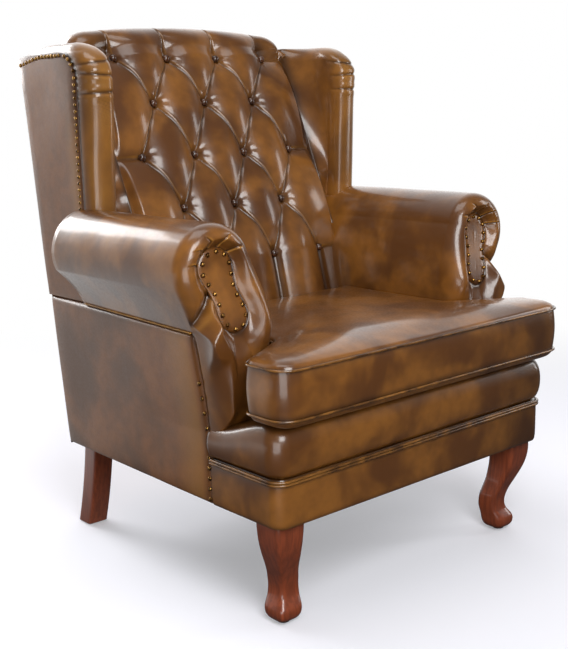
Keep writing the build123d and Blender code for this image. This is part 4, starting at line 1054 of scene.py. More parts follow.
def shrunk_onto_facing(outline):
    """The (x, z) rings between the outline and the facing, with the share of the way in and the
    length gone. A low, wide ball swells the stump outwards."""
    share = (np.arange(1, front_steps + 1) / front_steps)[:, None, None] ** 1.7
    target = onto_facing(outline)
    flat = outline + (target - outline) * share
    gone = np.linalg.norm(target - outline, axis=1)[None, :] * share[..., 0]
    ball = stump_swelling * np.exp(-((flat[..., 1] - swelling_z) / swelling_height) ** 2)
    ball = ball * smooth(flat[..., 0], 0.33, 0.38)
    flat[..., 0] += ball * smooth(gone, 0, 0.004) * (1 - smooth(gone, 0.012, 0.045))
    return flat, share[..., 0], gone


def from_fold(flat):
    """How far each point lies above the fold's line, and how far along it."""
    along = fold_end - fold_start
    along = along / np.linalg.norm(along)
    return (flat - fold_start) @ np.array([-along[1], along[0]]), (flat - fold_start) @ along


print("arm's front:", front_steps, "rings from its edge to the facing")

# %% Depth and folds of the arm's front
def front_depth(outline, flat, inward, gone, above_fold):
    """How far the front stands out: a quarter circle over the round edge, deeper low down, which
    sinks again towards the nails."""
    outer = smooth(flat[..., 0], 0.325, 0.36)
    gradual = belly_share(flat[..., 0], flat[..., 1])
    sudden = smooth(-above_fold, 0, 0.022) * np.minimum(1, gradual * 1.6)
    low = gradual + outer * (sudden - gradual) * (1 - smooth(inward, 0.5, 1.0))
    x, z = outline.T
    shoulder = smooth(x, 0.34, 0.36) * smooth(z, 0.43, 0.475) * smooth(0.53 - z, 0, 0.02)
    edge_round = (edge_round_high + 0.026 * smooth(0.50 - z, 0, 0.10) - 0.022 * shoulder)[None, :]
    t = np.clip(gone / edge_round, 0, 1)
    depth = (sausage_depth + belly_depth * low) * np.sqrt(1 - (1 - t) ** 2)
    return depth - sausage_valley * smooth(inward, 0.55, 1.0) * np.minimum(t, 1)


def head_folds(flat, inward, depth):
    """The depth with the pleats and the puffs between them, round the head, and their shades."""
    from_head = flat - facing_head
    radius = np.linalg.norm(from_head, axis=-1)
    angle = np.degrees(np.arctan2(from_head[..., 1], from_head[..., 0]))
    strength = smooth(inward, 0.22, 0.62)
    hollow, rubbed = 0 * depth, 0 * depth
    for pleat, hook in zip(head_pleats, pleat_hooks):
        bent = pleat + hook * (1 - smooth(inward, 0.2, 0.75))
        away = np.radians(angle - bent) * radius
        depth = depth + strength * (fold(away) * 0.8 - pleat_valley * np.exp(-(away / 0.011) ** 2))
        # Painted shade in each pleat and a wider one beside it, with the stain there, and a painted highlight
        # along its folded edge, where it is also rubbed pale
        hollow = np.maximum(hollow, 0.7 * strength * np.exp(-((away + 0.0006) / 0.0016) ** 2))
        hollow = np.maximum(hollow, 0.25 * strength * np.exp(-((away + 0.006) / 0.006) ** 2))
        rubbed = np.maximum(rubbed, strength * np.exp(-((away - 0.0028) / 0.0015) ** 2))
    return depth, hollow, rubbed


def two_sided_bell(away, above, below):
    """exp(-t²) of a distance, with one width above 0 and another below it."""
    return np.where(away > 0, np.exp(-(away / above) ** 2), np.exp(-(away / below) ** 2))


print("pleats fan out at", head_pleats, "degrees")

# %% Arms
def arm_front(outline):
    """Rings that shrink from the outline onto the facing, with their two shades. Low down they
    swell into the belly of the stump, and there the leather of the roll tucks in behind it."""
    flat, inward, gone = shrunk_onto_facing(outline)
    above_fold, past_fold = from_fold(flat)
    depth = front_depth(outline, flat, inward, gone, above_fold)
    depth, hollow, rubbed = head_folds(flat, inward, depth)
    beside = smooth(past_fold, -0.012, 0.004) * smooth(flat[..., 0], 0.350, 0.362)
    depth = depth * (1 - 0.55 * two_sided_bell(above_fold, 0.014, 0.0035) * beside)
    # Painted shade along the tuck behind the stump
    hollow = np.maximum(hollow, 0.75 * two_sided_bell(above_fold, 0.011, 0.0022) * beside)
    # A pale lip beside the tuck: rubbed wear and a painted highlight
    lip = np.exp(-((above_fold + 0.0055) / 0.0020) ** 2) * beside
    rubbed = np.maximum(rubbed, 0.35 * lip)
    # Painted shade where the pleats run under the facing's edge
    hollow = np.maximum(hollow, 0.7 * smooth(inward, 0.93, 1.0))
    rings = np.stack([flat[..., 0], nail_line_y - depth, flat[..., 1]], axis=-1)
    return rings, hollow, rubbed * (1 - hollow)


def arm_rings():
    """All rings of one arm, from its rear inside the wing to its facing, with their two shades."""
    ys = np.linspace(arm_rear_y, nail_line_y + 0.002, body_rings)
    ys = np.concatenate([[arm_rear_y + arm_end_sink], ys])
    body = np.stack([np.insert(arm_outline(y, stump=False), 1, y, axis=1) for y in ys])
    edge = arm_outline(nail_line_y, stump=True)
    rim = np.insert(edge, 1, nail_line_y, axis=1)[None]
    front, hollow, rubbed = arm_front(edge)
    # The last ring lies deeper, so that the fan that shuts it stays behind the facing
    rings = np.concatenate([body, rim, front, front[-1:] + np.array([0, arm_end_sink, 0])])
    back_stain_and_shade = np.zeros((len(ys) + 1, len(edge)))
    # Painted shade along the seam under the roll
    back_stain_and_shade[:, foot_count] = 0.8
    hollow = np.concatenate([back_stain_and_shade, hollow, hollow[-1:]])
    return rings, hollow, np.concatenate([0 * back_stain_and_shade, rubbed, rubbed[-1:]])


rings, hollow, rubbed = arm_rings()
above = smooth(rings[..., 2:], 0.52, 0.56)
rings = rings + np.array([0.0010, 0, 0.0010]) * ripple(rings, 0.12, 5)[..., None] * above
points, faces = ringed(rings)
shades = {"hollow": with_ends(hollow), "rubbed": with_ends(rubbed)}
for arm in put_pair("scroll_arm", points, faces, hide, "arm_pad", shades):
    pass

# %% [markdown]
# The facing is a keyhole of leather over thin card. It hides the ends of the pleats and is held by
# a ring of nails near its edge. It sits a little below the leather round it, as the pleats puff up.

# %% Keyhole facings and their nails
facing_points, nail_walk_points = 120, 1200
middle_circle = (0.005, 0.005)
facing_card, facing_overlap = 0.001, 0.004


def round_middle(count):
    """Points close round the line between the facing's two centres: half a small circle about
    each, and a straight run on each side."""
    line = facing_tail - facing_head
    heading = math.degrees(math.atan2(line[1], line[0]))
    quarter = count // 4
    head = arc_of(facing_head, middle_circle, heading + 90, heading + 270, quarter)
    tail = arc_of(facing_tail, middle_circle, heading - 90, heading + 90, quarter)
    back = arc_of(facing_head, middle_circle, heading + 90, heading + 91, 1)[0]
    head_end = facing_head + (tail[0] - facing_tail)
    tail_end = facing_tail + (back - facing_head)
    return np.concatenate([head, line_to(head_end, tail[0], quarter), tail, line_to(tail_end, back, quarter)])


def facing_rings():
    """The facing as rings that shrink from its edge to its middle line, with a soft edge and a
    slight dome: the height is a root of the share of the way in, up to the facing's depth."""
    around = round_middle(facing_points)
    edge = onto_facing(around)
    line = facing_tail - facing_head
    share = np.clip((edge - facing_head) @ line / (line @ line), 0, 1)[:, None]
    middle = facing_head + line * share
    inward = np.array([0.0, 0.02, 0.06, 0.12, 0.22, 0.4, 0.6, 0.8, 0.97])[:, None, None]
    flat = edge + (middle - edge) * inward
    rise = (facing_depth + facing_card) * np.clip(inward[..., 0] / 0.22, 0, 1) ** 0.5
    level = nail_line_y - facing_rise - belly_depth * belly_share(flat[..., 0], flat[..., 1])
    y = level + facing_depth + facing_card - rise
    front = np.stack([flat[..., 0], y, flat[..., 1]], axis=-1)
    back = front[:1] + np.array([0, facing_overlap, 0])
    # The last ring is nearly the middle line, so it shrinks along that line to one point
    along = np.array([0.25, 0.5, 0.75, 0.95])[:, None, None]
    core = flat[-1] + ((facing_head + facing_tail) / 2 - flat[-1]) * along
    core_y = nail_line_y - facing_rise - belly_depth * belly_share(core[..., 0], core[..., 1])
    return np.concatenate([back, front, np.stack([core[..., 0], core_y, core[..., 1]], axis=-1)])


def round_facing(inset, count):
    """Evenly spaced (x, z) points round the facing, at an inset from its edge, walked by length."""
    walk = onto_facing(round_middle(nail_walk_points), inset)
    closed = np.concatenate([walk, walk[:1]])
    lengths = np.concatenate([[0], np.cumsum(np.linalg.norm(np.diff(closed, axis=0), axis=1))])
    at = lengths[-1] * np.arange(count) / count
    return np.stack([np.interp(at, lengths, closed[:, k]) for k in (0, 1)], axis=1)


nail_radius, nail_height = 0.0043, 0.0038
nail_sides, nail_levels = 10, 3
scroll_nail_count, scroll_nail_inset, nail_gap = 18, 0.007, 0.0006
points, faces = ringed(facing_rings())
nails = round_facing(scroll_nail_inset, scroll_nail_count)
nails = np.insert(nails, 1, nail_line_y - facing_rise - nail_gap, axis=1)
nails[:, 1] -= belly_depth * belly_share(nails[:, 0], nails[:, 2])
put_pair("keyhole_facing", points, faces, hide, "arm_facing")
all_nails = np.concatenate([nails, mirrored(nails)])
forwards = np.array([0, -1.0, 0])
heads, head_faces = domed_heads(all_nails, forwards, nail_radius, nail_height, nail_sides, nail_levels)
put_piece("scroll_nail_heads", heads, head_faces, pressed_brass, "chair", ["scroll_nails"])

# %% [markdown]
# A wing is a post wrapped in padding: seen from above, its edge is a half round as thick as the
# wing, and the inner face runs back to the seam with the inside back. Rings of that plan outline
# climb the wing. Near the top every ring is drawn in, as the half round turns over the top, and
# the front moves back to round the corner. A few creases cross the front where the hide turns.

# %% Outline of a wing
wing_low, wing_top = 0.615, 1.018
wing_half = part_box("outside_wing_right")[1][0]
wing_half_round = 0.030
wing_nose_y, wing_nose_x, wing_inner_x = 0.138, 0.318, 0.295
wing_nose_depth, wing_lean = 0.036, 0.055
cheek_direction = np.array([0.05, 0.999])
panel_front_y = 0.184
panel_top = 1.000
panel_corner = 0.050
rear_drop = 0.013
outside_rake = math.tan(math.radians(6.74))
corner_high, corner_deep = 0.070, 0.090
frame_floor_z = 0.198
# The height, depth and slope of each crease
front_creases = ((0.979, 0.0020, 0.3), (0.955, 0.0030, -0.15), (0.922, 0.0026, 0.1))
crease_width, wrinkle_width, wrinkle_height = 0.0022, 0.0011, 0.0003
panel_count, outer_count, nose_count, cheek_count, seam_count, rear_count = 22, 34, 26, 40, 12, 10


def outside_back_y(z):
    """The leaning rear of the chair at height z."""
    return base_rear_y + (z - frame_floor_z) * outside_rake


def quarter_drop(share):
    """How far a quarter round has turned away, from 0 at share 0 to 1 at share 1."""
    return 1 - np.sqrt(1 - np.clip(share, 0, 1) ** 2)


def panel_seam_y(z):
    """The front edge of the outside panel, which turns back under the wing's top corner."""
    return panel_front_y + panel_corner * quarter_drop((z - (panel_top - panel_corner)) / panel_corner)


def rear_arch(x, y):
    """How much lower the wing's top lies towards its rear, on its outer side."""
    return rear_drop * smooth(y, 0.31, 0.41) * smooth(x, 0.285, 0.335)


def wing_outline(height, pull, nose, round_share):
    """One level's (x, y) outline, drawn in by the pull. It runs from the rear of the panel to its
    front seam, out over the front in two curves, and back along the inner face to the corner."""
    rear_y = outside_back_y(min(height, 1.0)) - 0.010
    outer_x = wing_half - 0.002 - pull
    seam = np.array([outer_x, max(float(panel_seam_y(height)), nose + 0.012)])
    front = np.array([wing_nose_x + 0.5 * pull, nose])
    inner = np.array([wing_inner_x + pull, nose + wing_nose_depth])
    chord = (seam + front) / 2
    outer_bend = chord + (np.array([outer_x, nose]) - chord) * round_share
    rear_x = side_seam_x + 0.3 * pull
    corner = np.array([rear_x, max(float(button_plane_y(height)) - 0.010, 0.13)])
    cheek = inner + cheek_direction * 0.5 * abs(corner[1] - inner[1])
    return np.concatenate([
        line_to((outer_x, rear_y), seam, panel_count),
        bend_to(seam, outer_bend, front, outer_count),
        bend_to(front, (wing_inner_x + pull, nose), inner, nose_count),
        bend_to(inner, cheek, corner, cheek_count),
        line_to(corner, (rear_x, rear_y - 0.002), seam_count),
        line_to((rear_x, rear_y - 0.002), (outer_x, rear_y), rear_count),
    ])


print("wing's outline:", len(wing_outline(0.8, 0.0, wing_nose_y, 1.0)), "points")

# %% Wings
def crease_front(rings, nose_y):
    """Press the creases and fine slanting wrinkles into the rounded front. Returns the painted shade
    in the creases and wrinkles, and how far round the front each point is. A crease is a narrow
    bell between two low puffs."""
    m, n, _ = rings.shape
    first, last = panel_count, panel_count + outer_count + nose_count
    around = np.zeros(n)
    around[first:last] = np.sin(np.pi * (np.arange(last - first) + 0.5) / (last - first)) ** 0.5
    turn = np.zeros(n)
    turn[first:last] = np.linspace(-1, 1, last - first)
    middle = np.stack([np.full(m, 0.325), nose_y + 0.045], axis=1)[:, None]
    outwards = rings[:, :, :2] - middle
    outwards = outwards / np.linalg.norm(outwards, axis=2, keepdims=True)
    hollow = np.zeros((m, n))
    for place, depth, slope in front_creases:
        away = rings[..., 2] - place - slope * 0.02 * turn[None, :]
        dent = np.exp(-(away / crease_width) ** 2) * around[None, :]
        puff = np.exp(-((np.abs(away) - 0.009) / 0.006) ** 2) * around[None, :]
        rings[..., :2] -= (dent * depth - puff * depth * 0.35)[..., None] * outwards
        # Painted shade in each crease
        hollow = np.maximum(hollow, dent * 0.7)
    slanted = rings[..., 2] + 0.028 * turn[None, :]
    fine = smooth(rings[..., 2], 0.83, 0.90) * (1 - smooth(rings[..., 2], 0.905, 0.92)) * around[None, :] ** 2
    wave = np.sin(slanted / wrinkle_width) * (0.5 + 0.5 * ripple(rings, 0.03, 13)) * fine
    rings[..., :2] += wrinkle_height * wave[..., None] * outwards
    return np.maximum(hollow, 0.25 * np.clip(wave, 0, 1)), around


def wing_rings():
    """The wing's rings and their two shades. Near the top a quarter round draws each ring in, and
    another moves its front back."""
    z = np.concatenate([
        np.linspace(wing_low, wing_top - 0.105, 120),
        wing_top - 0.104 * (1 - np.sin(np.linspace(0.01, np.pi / 2, 60))),
    ])
    pulled = wing_half_round * 0.97 * quarter_drop((z - (wing_top - wing_half_round)) / wing_half_round)
    turned = corner_deep * quarter_drop((z - (wing_top - corner_high)) / corner_high)
    nose_y = wing_nose_y + wing_lean * np.clip(0.93 - z, 0, 1) + np.minimum(turned, 0.098)
    full = 1.04 + 0.14 * smooth(z, 0.90, 0.97)
    rings = np.array([
        np.insert(wing_outline(*level), 2, level[0], axis=1) for level in zip(z, pulled, nose_y, full)
    ])
    hollow, around = crease_front(rings, nose_y)
    number = np.arange(rings.shape[1])
    # Painted shade along the seam with the outside panel and in the corner against the inside back
    at_seam = np.exp(-((number - panel_count) / 1.6) ** 2)
    hollow = np.maximum(hollow, 0.9 * at_seam[None, :] * (rings[..., 2] < panel_top))
    at_corner = panel_count + outer_count + nose_count + cheek_count
    corner_shade = np.exp(-((number - at_corner) / 5.0) ** 2)
    hollow = np.maximum(hollow, 0.7 * corner_shade[None, :])
    rings[..., 2] -= rear_arch(rings[..., 0], rings[..., 1]) * smooth(rings[..., 2], 0.80, 1.0)
    rubbed = 0.6 * np.clip(around, 0, 1)[None, :] ** 2 * (1 - hollow) * (0.6 + 0.4 * ripple(rings, 0.06, 17))
    return rings, hollow, rubbed


rings, hollow, rubbed = wing_rings()
rings = rings + np.array([0.0012, 0.0008, 0]) * ripple(rings, 0.10, 11)[..., None]
points, faces = ringed(rings)
shades = {"hollow": with_ends(hollow), "rubbed": with_ends(rubbed)}
for wing in put_pair("wing", points, faces, hide, "wing_pad", shades):
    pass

# %% [markdown]
# The outside panels are single pieces of hide over thin wadding, drawn tight and tacked or nailed
# along their edges. Each is a sheet on a grid: a flat or leaning surface, plus a low dome that
# falls to nothing at the edges, with a rear wall behind it. A second function closes any such
# front and back grid into one shape.

# %% Outside panels
panel_puff = 0.0045
hidden_x = 0.3485
back_panel_top, back_corner_drop = 1.004, 0.022
panel_thickness = 0.006
panel_sharp = 60


def two_sided(front, back):
    """Points and faces of a closed slab from two grids (m, n, 3) that share their outline."""
    m, n, _ = front.shape
    quads, rim = grid_faces(m, n)
    quads = quads.reshape(-1, 4)
    wall = np.stack([rim, rim + m * n, np.roll(rim, -1) + m * n, np.roll(rim, -1)], axis=1)
    points = np.concatenate([front.reshape(-1, 3), back.reshape(-1, 3)])
    return points, [quads, quads[:, ::-1] + m * n, wall]


def panel_grid(rows, columns):
    """The shares of the way up and along a panel, from 0 to 1, at each point of its grid."""
    return np.meshgrid(np.linspace(0, 1, rows), np.linspace(0, 1, columns), indexing="ij")


def tight_dome(u, v, edge=0.10):
    """1 over the middle of a panel and 0 along its edges, rising as a root near them."""
    side = np.minimum(np.minimum(u, 1 - u) / edge, 1), np.minimum(np.minimum(v, 1 - v) / edge, 1)
    return np.sqrt(np.clip(1 - (1 - side[0]) ** 2, 0, 1) * np.clip(1 - (1 - side[1]) ** 2, 0, 1))


print("in the middle of a panel the dome's share is", tight_dome(0.5, 0.5))

# %% Three outside panels
def outside_arm():
    """The panel under the arm roll: upright low down, then leaning out to the seam."""
    v, u = panel_grid(80, 110)
    z = frame_floor_z + (seam_z - frame_floor_z) * v
    y = nail_line_y + (outside_back_y(z) + 0.001 - nail_line_y) * u
    low_x = base_half + (base_half_rear - base_half) * u
    flare = (seam_x(y) - low_x) * np.clip((z - stump_z) / (seam_z - stump_z), 0, 1) ** 1.15
    turned = 0.006 * smooth(v, 0.965, 1.0) ** 2
    x = low_x + flare + panel_puff * tight_dome(u, v) - 0.0045 * (1 - tight_dome(u, v, 0.02)) - turned
    x = x + 0.0012 * ripple(np.stack([x, y, z], axis=-1), 0.16, 21) * tight_dome(u, v)
    front = np.stack([x, y, z], axis=-1)
    back = np.stack([0 * x + hidden_x, y, z], axis=-1)
    # Darker along the front edge and along the foot, and painted shade under the roll's seam at the top
    dark = 0.6 * (1 - smooth(u, 0.0, 0.03)) + 0.25 * (1 - smooth(v, 0.0, 0.02)) + 0.35 * smooth(v, 0.93, 1.0)
    pale = 0.35 * smooth(u, 0.02, 0.05) * (1 - smooth(u, 0.06, 0.22))
    return front, back, dark, pale * (1 - dark)


def outside_wing():
    """The flat panel of the wing, above the arm."""
    v, u = panel_grid(90, 70)
    y = panel_front_y + (outside_back_y(seam_z) - panel_front_y) * u
    corner_drop = panel_corner * quarter_drop((panel_front_y + panel_corner - y) / panel_corner)
    top = panel_top - rear_arch(wing_half, y) - corner_drop
    z = seam_z + (top - seam_z) * v
    y = y + (outside_back_y(z) - outside_back_y(seam_z)) * u
    x = wing_half - 0.002 + panel_puff * tight_dome(u, v, 0.14)
    x = x + 0.0012 * ripple(np.stack([x, y, z], axis=-1), 0.16, 23) * tight_dome(u, v)
    back = np.stack([0 * x + hidden_x, y, z], axis=-1)
    front = np.stack([x, y, z], axis=-1)
    # Darker along the front edge, painted shade under the wing's top roll, and soft upright bands of painted
    # shade towards the front, where the flat sheet has no folds to cast it
    upright = ripple(front * np.array([1.0, 1.0, 0.2]), 0.05, 29)
    dark = 0.6 * (1 - smooth(u, 0.0, 0.04)) + 0.6 * smooth(v, 0.975, 1.0) + 0.12 * (1 + upright) * (1 - u)
    pale = 0.4 * smooth(u, 0.02, 0.06) * (1 - smooth(u, 0.08, 0.30)) * (1 - smooth(v, 0.6, 0.9))
    return front, back, np.clip(dark, 0, 1), pale * (1 - np.clip(dark, 0, 1))


def outside_back():
    """The leaning panel behind, from the floor of the seat frame to the crest."""
    v, u = panel_grid(120, 100)
    x = base_half_rear * (2 * u - 1)
    top = back_panel_top - back_corner_drop * smooth(np.abs(x), 0.27, 0.33)
    z = frame_floor_z + (top - frame_floor_z) * v
    puff = panel_puff * tight_dome(u, v, 0.06) - 0.003 * (1 - tight_dome(u, v, 0.012))
    y = outside_back_y(z) + puff
    y = y + 0.0014 * ripple(np.stack([x, y, z], axis=-1), 0.2, 25) * tight_dome(u, v)
    back = np.stack([x, outside_back_y(z) - panel_thickness, z], axis=-1)
    dark = 0.5 * (1 - tight_dome(u, v, 0.015))
    return np.stack([x, y, z], axis=-1), back, dark, 0 * dark


def panel_mesh(front, back, dark, pale):
    """Points, faces and shades of a panel."""
    shades = {"hollow": np.tile(dark.ravel(), 2), "rubbed": np.tile(pale.ravel(), 2)}
    return *two_sided(front, back), shades


for panel in (outside_arm, outside_wing):
    points, faces, shades = panel_mesh(*panel())
    name = panel.__name__
    put_pair(f"{name}_hide", points, faces, panel_hide, name, shades, panel_sharp)
points, faces, shades = panel_mesh(*outside_back())
put_piece(
    "outside_back_hide", points, faces, panel_hide, "chair", ["outside_back"], shades,
    panel_sharp,
)

# %% [markdown]
# Round the front of the seat runs a flat band, and above it a stuffed roll. Both follow one plan
# line: back along each side, and round the two front corners. A profile is carried along that
# line. Each profile point says how far it lies in from the outer line towards an inner one, and
# how high.

# %% Plan line of the front border
band_bottom, band_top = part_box("lower_band")[0][2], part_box("lower_band")[1][2]
band_front_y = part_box("lower_band")[0][1]
roll_half, roll_front_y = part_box("front_edge_roll")[1][0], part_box("front_edge_roll")[0][1]
deck_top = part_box("front_edge_roll")[1][2]
roll_inner_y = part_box("seat_deck")[0][1]
border_corner = 0.026


def border_line(half, front_y, radius, rear_y, side_count=40, corner_count=22, front_count=130):
    """The open line as (x, y) points, from the left rear round the front to the right rear."""
    left = line_to((-half, rear_y), (-half, front_y + radius), side_count)
    corner = arc_of((radius - half, front_y + radius), (radius, radius), 180, 270, corner_count)
    across = line_to((radius - half, front_y), (half - radius, front_y), front_count)
    other = arc_of((half - radius, front_y + radius), (radius, radius), 270, 360, corner_count)
    right = line_to((half, front_y + radius), (half, rear_y), side_count)
    return np.concatenate([left, corner, across, other, right, [(half, rear_y)]])


def carried(outer, inner, profile):
    """Rings from a profile of (share of the way in, height) points at every point of two lines."""
    share, height = profile[:, 0][None, :, None], profile[:, 1]
    flat = outer[:, None, :] + (inner - outer)[:, None, :] * share
    return np.concatenate([flat, np.broadcast_to(height[None, :, None], flat.shape[:2] + (1,))], axis=2)


def end_shade_and_stain(points):
    """Darker at the front's ends: painted shade at the end on the side of +X, where less light reaches, and
    stain near the nails on the side of -X.
    """
    x, y = points[..., 0], points[..., 1]
    far_end_shade = 0.5 * smooth(x, 0.12, 0.36) * smooth(-y, 0.30, 0.36)
    return far_end_shade + 0.3 * (1 - smooth(x, -0.372, -0.352)) * smooth(y, -0.30, -0.20)


front_line = border_line(base_half, band_front_y, border_corner, nail_line_y)
front_length = np.linalg.norm(np.diff(front_line, axis=0), axis=1).sum()
print("front border", round(float(front_length), 3), "m from nail line to nail line")


# %% Lower band and stuffed edge roll
band_depth, band_bulge, band_sharp = 0.012, 0.0035, 50
face_points, hidden_points = 26, 6
inner = border_line(
    base_half - band_depth, band_front_y + band_depth, border_corner - band_depth, nail_line_y,
)
height = np.linspace(0, 1, face_points)
bulge = band_bulge * np.sqrt(np.clip(1 - (2 * height - 1) ** 4, 0, 1)) - band_bulge
face_z = band_bottom + (band_top - band_bottom) * height
outer_face = np.stack([-(bulge + 0.0005) / band_depth, face_z], axis=1)
inner_face = np.stack([np.ones(hidden_points), np.linspace(band_top, band_bottom, hidden_points)], axis=1)
rings = carried(front_line, inner, np.concatenate([outer_face, inner_face]))
rings[:, :face_points, :2] *= (1 + 0.0022 * ripple(rings[:, :face_points], 0.14, 31))[..., None]
points, faces = ringed(rings)
# Painted shade along the band's foot and, more, under the welts and the roll at its top
seam_shade = 0.4 * (1 - smooth(height, 0, 0.10)) + 0.7 * smooth(height, 0.72, 1.0) ** 2
around = np.concatenate([seam_shade, np.zeros(hidden_points)])
shade = with_ends(np.maximum(around[None, :], end_shade_and_stain(rings)))
put_piece(
    "front_band", points, faces, hide, "chair", ["lower_band"], {"hollow": shade}, band_sharp,
)

roll_depth = roll_inner_y - roll_front_y
roll_rise = deck_top - band_top
roll_fall_front, roll_fall_rear, roll_fall_share = -0.350, -0.205, 0.34
outer = border_line(roll_half, roll_front_y, border_corner + 0.008, nail_line_y)
inner = border_line(roll_half - roll_depth, roll_inner_y, 0.004, nail_line_y)
nose_points, top_points, under_points = 40, 14, 12
# The nose is a half round whose lower half is fuller than its upper one
turn = np.radians(np.linspace(-90, 90, nose_points))
nose_in = 0.30 - 0.32 * np.cos(turn) ** np.where(turn < 0, 0.5, 0.7)
nose = np.stack([nose_in, 0.5 + 0.5 * np.sin(turn)], axis=1)
top = np.stack([np.linspace(0.34, 1.0, top_points), np.full(top_points, 1.0)], axis=1)
under = np.stack([np.linspace(1.0, 0.32, under_points), np.full(under_points, 0.0)], axis=1)
profile = np.concatenate([nose, top, under])
profile[:, 1] = band_top + roll_rise * profile[:, 1]
rings = carried(outer, inner, profile)
fall = smooth(outer[:, 1], roll_fall_front, roll_fall_rear)[:, None]
rings[..., 2] = band_top + (rings[..., 2] - band_top) * (1 - roll_fall_share * fall)
rings[..., :2] *= (1 + 0.003 * ripple(rings, 0.11, 33))[..., None]
rings[..., 2] = np.minimum(rings[..., 2], deck_top)
points, faces = ringed(rings)
# Painted shade at the foot of the nose above the welts, painted shadow where the cushion lies on the top, and
# painted shade at the far end
nose_shade = 0.85 * (1 - smooth(np.linspace(0, 1, nose_points), 0.0, 0.14))
around = np.concatenate([nose_shade, np.zeros(top_points + under_points)])
cushion_shadow = smooth(profile[:, 1], deck_top - 0.012, deck_top) * 0.6
far_end_shade = 0.9 * end_shade_and_stain(rings) * (rings[..., 0] > 0)
shade = with_ends(np.maximum(np.maximum(around, cushion_shadow)[None, :], far_end_shade))
edge_roll = put_piece(
    "stuffed_edge_roll", points, faces, hide, "chair", ["front_edge_roll"], {"hollow": shade},
)

# %% [markdown]
# Between the arms the springs are covered by a padded deck. The cushion hides it. Its top is flat
# under the cushion and falls a little along its edges, as a quarter round.

# %% Seat deck
deck_low, deck_box = 0.300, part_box("seat_deck")
deck_edge_points, deck_sharp = 60, 50
deck_fall, deck_draw = 0.010, 0.06
deck_middle = np.array([0.0, (deck_box[0][1] + deck_box[1][1]) / 2])
deck_half = np.array([deck_box[1][0], (deck_box[1][1] - deck_box[0][1]) / 2]) - 0.0005
corners = np.array([(1, 1), (1, -1), (-1, -1), (-1, 1), (1, 1)]) * deck_half
deck_edge = np.concatenate([line_to(corners[k], corners[k + 1], deck_edge_points) for k in range(4)])
rings = [np.insert(deck_middle + deck_edge * share, 2, deck_low, axis=1) for share in (0.2, 0.6, 1.0)]
for turn in np.radians((0, 20, 40, 60, 80)):
    inner_share = 1 - deck_draw * (1 - math.cos(turn))
    height = deck_top - deck_fall * (1 - math.sin(turn))
    rings.append(np.insert(deck_middle + deck_edge * inner_share, 2, height, axis=1))
for share in (0.85, 0.6, 0.3, 0.1):
    rings.append(np.insert(deck_middle + deck_edge * share, 2, deck_top - 0.0002, axis=1))
points, faces = ringed(np.array(rings))
deck = put_piece(
    "seat_deck_cover", points, faces, panel_hide, "chair", ["seat_deck"], None, deck_sharp,
)

# %% [markdown]
# Welts are strips of hide folded round a cord and sewn into a seam. A round section is carried
# along each seam line: its centre follows the line, and it turns about the line's own direction.

# %% Welts
welt_radius, welt_out = 0.0026, 0.0024
welt_heights = (0.2825, 0.2772)
cord_sides = 10
piping_radius, piping_sides, piping_out, piping_points = 0.0017, 8, 0.0012, 70


def cord_rings(route, radius, sides, closed=False):
    """Rings round a level route (m, 3). Side points out of the route's direction turned a quarter
    in plan, and up is upright."""
    ahead = np.roll(route, -1, axis=0) - np.roll(route, 1, axis=0)
    if not closed:
        ahead[0], ahead[-1] = route[1] - route[0], route[-1] - route[-2]
    ahead = ahead / np.linalg.norm(ahead, axis=1, keepdims=True)
    side = np.cross(ahead, [0, 0, 1.0])
    side = side / np.linalg.norm(side, axis=1, keepdims=True)
    up = np.cross(side, ahead)
    turn = 2 * np.pi * np.arange(sides) / sides
    return route[:, None] + radius * (
        np.cos(turn)[None, :, None] * side[:, None] + np.sin(turn)[None, :, None] * up[:, None]
    )


line = border_line(base_half + welt_out, band_front_y - welt_out, border_corner + welt_out, nail_line_y)
for number, z in enumerate(welt_heights):
    points, faces = ringed(cord_rings(np.insert(line, 2, z, axis=1), welt_radius, cord_sides))
    stands = ["border_welt"] if number == 0 else []
    put_piece(f"border_welt_{number + 1}", points, faces, welt_hide, "chair", stands)

ys = np.linspace(nail_line_y + 0.004, arm_rear_y + 0.006, piping_points)
route = np.stack([seam_x(ys) + piping_out, ys, 0 * ys + seam_z - 0.0002], axis=1)
points, faces = ringed(cord_rings(route, piping_radius, piping_sides))
put_pair("seam_piping", points, faces, piping_hide)

# %% [markdown]
# The seat cushion is loose. It is T-shaped, so that it fills the seat and spreads in front of the
# arms, and it is a case of top, bottom and a boxing strip round the side, with a welt in each
# seam, filled with foam in a feather wrap. The case is first drawn a little slack, as rings round
# the T outline, then remeshed and blown up by the cloth solver, held along its two seams.

# %% Cushion outline
cushion_seams = (0.3955, 0.4795)
cushion_low, cushion_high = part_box("cushion_cover")[0][2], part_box("cushion_cover")[1][2]
half_corners = ((0.2344, 0.0650), (0.2344, -0.2341), (0.3734, -0.3191), (0.3734, -0.4134))
half_rounds = (0.025, 0.022, 0.024, 0.045)
corner_points = 14
straight_points = 26
crown_strip, crown_rise = 0.034, 0.010
crown_half_width, crown_half_length = 0.42, 0.29
cushion_middle = np.array([0.0, -0.20])
boxing_bulge, boxing_levels = 0.0035, 13
zip_bed_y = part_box("cushion_zip")[0][1] - 0.0006


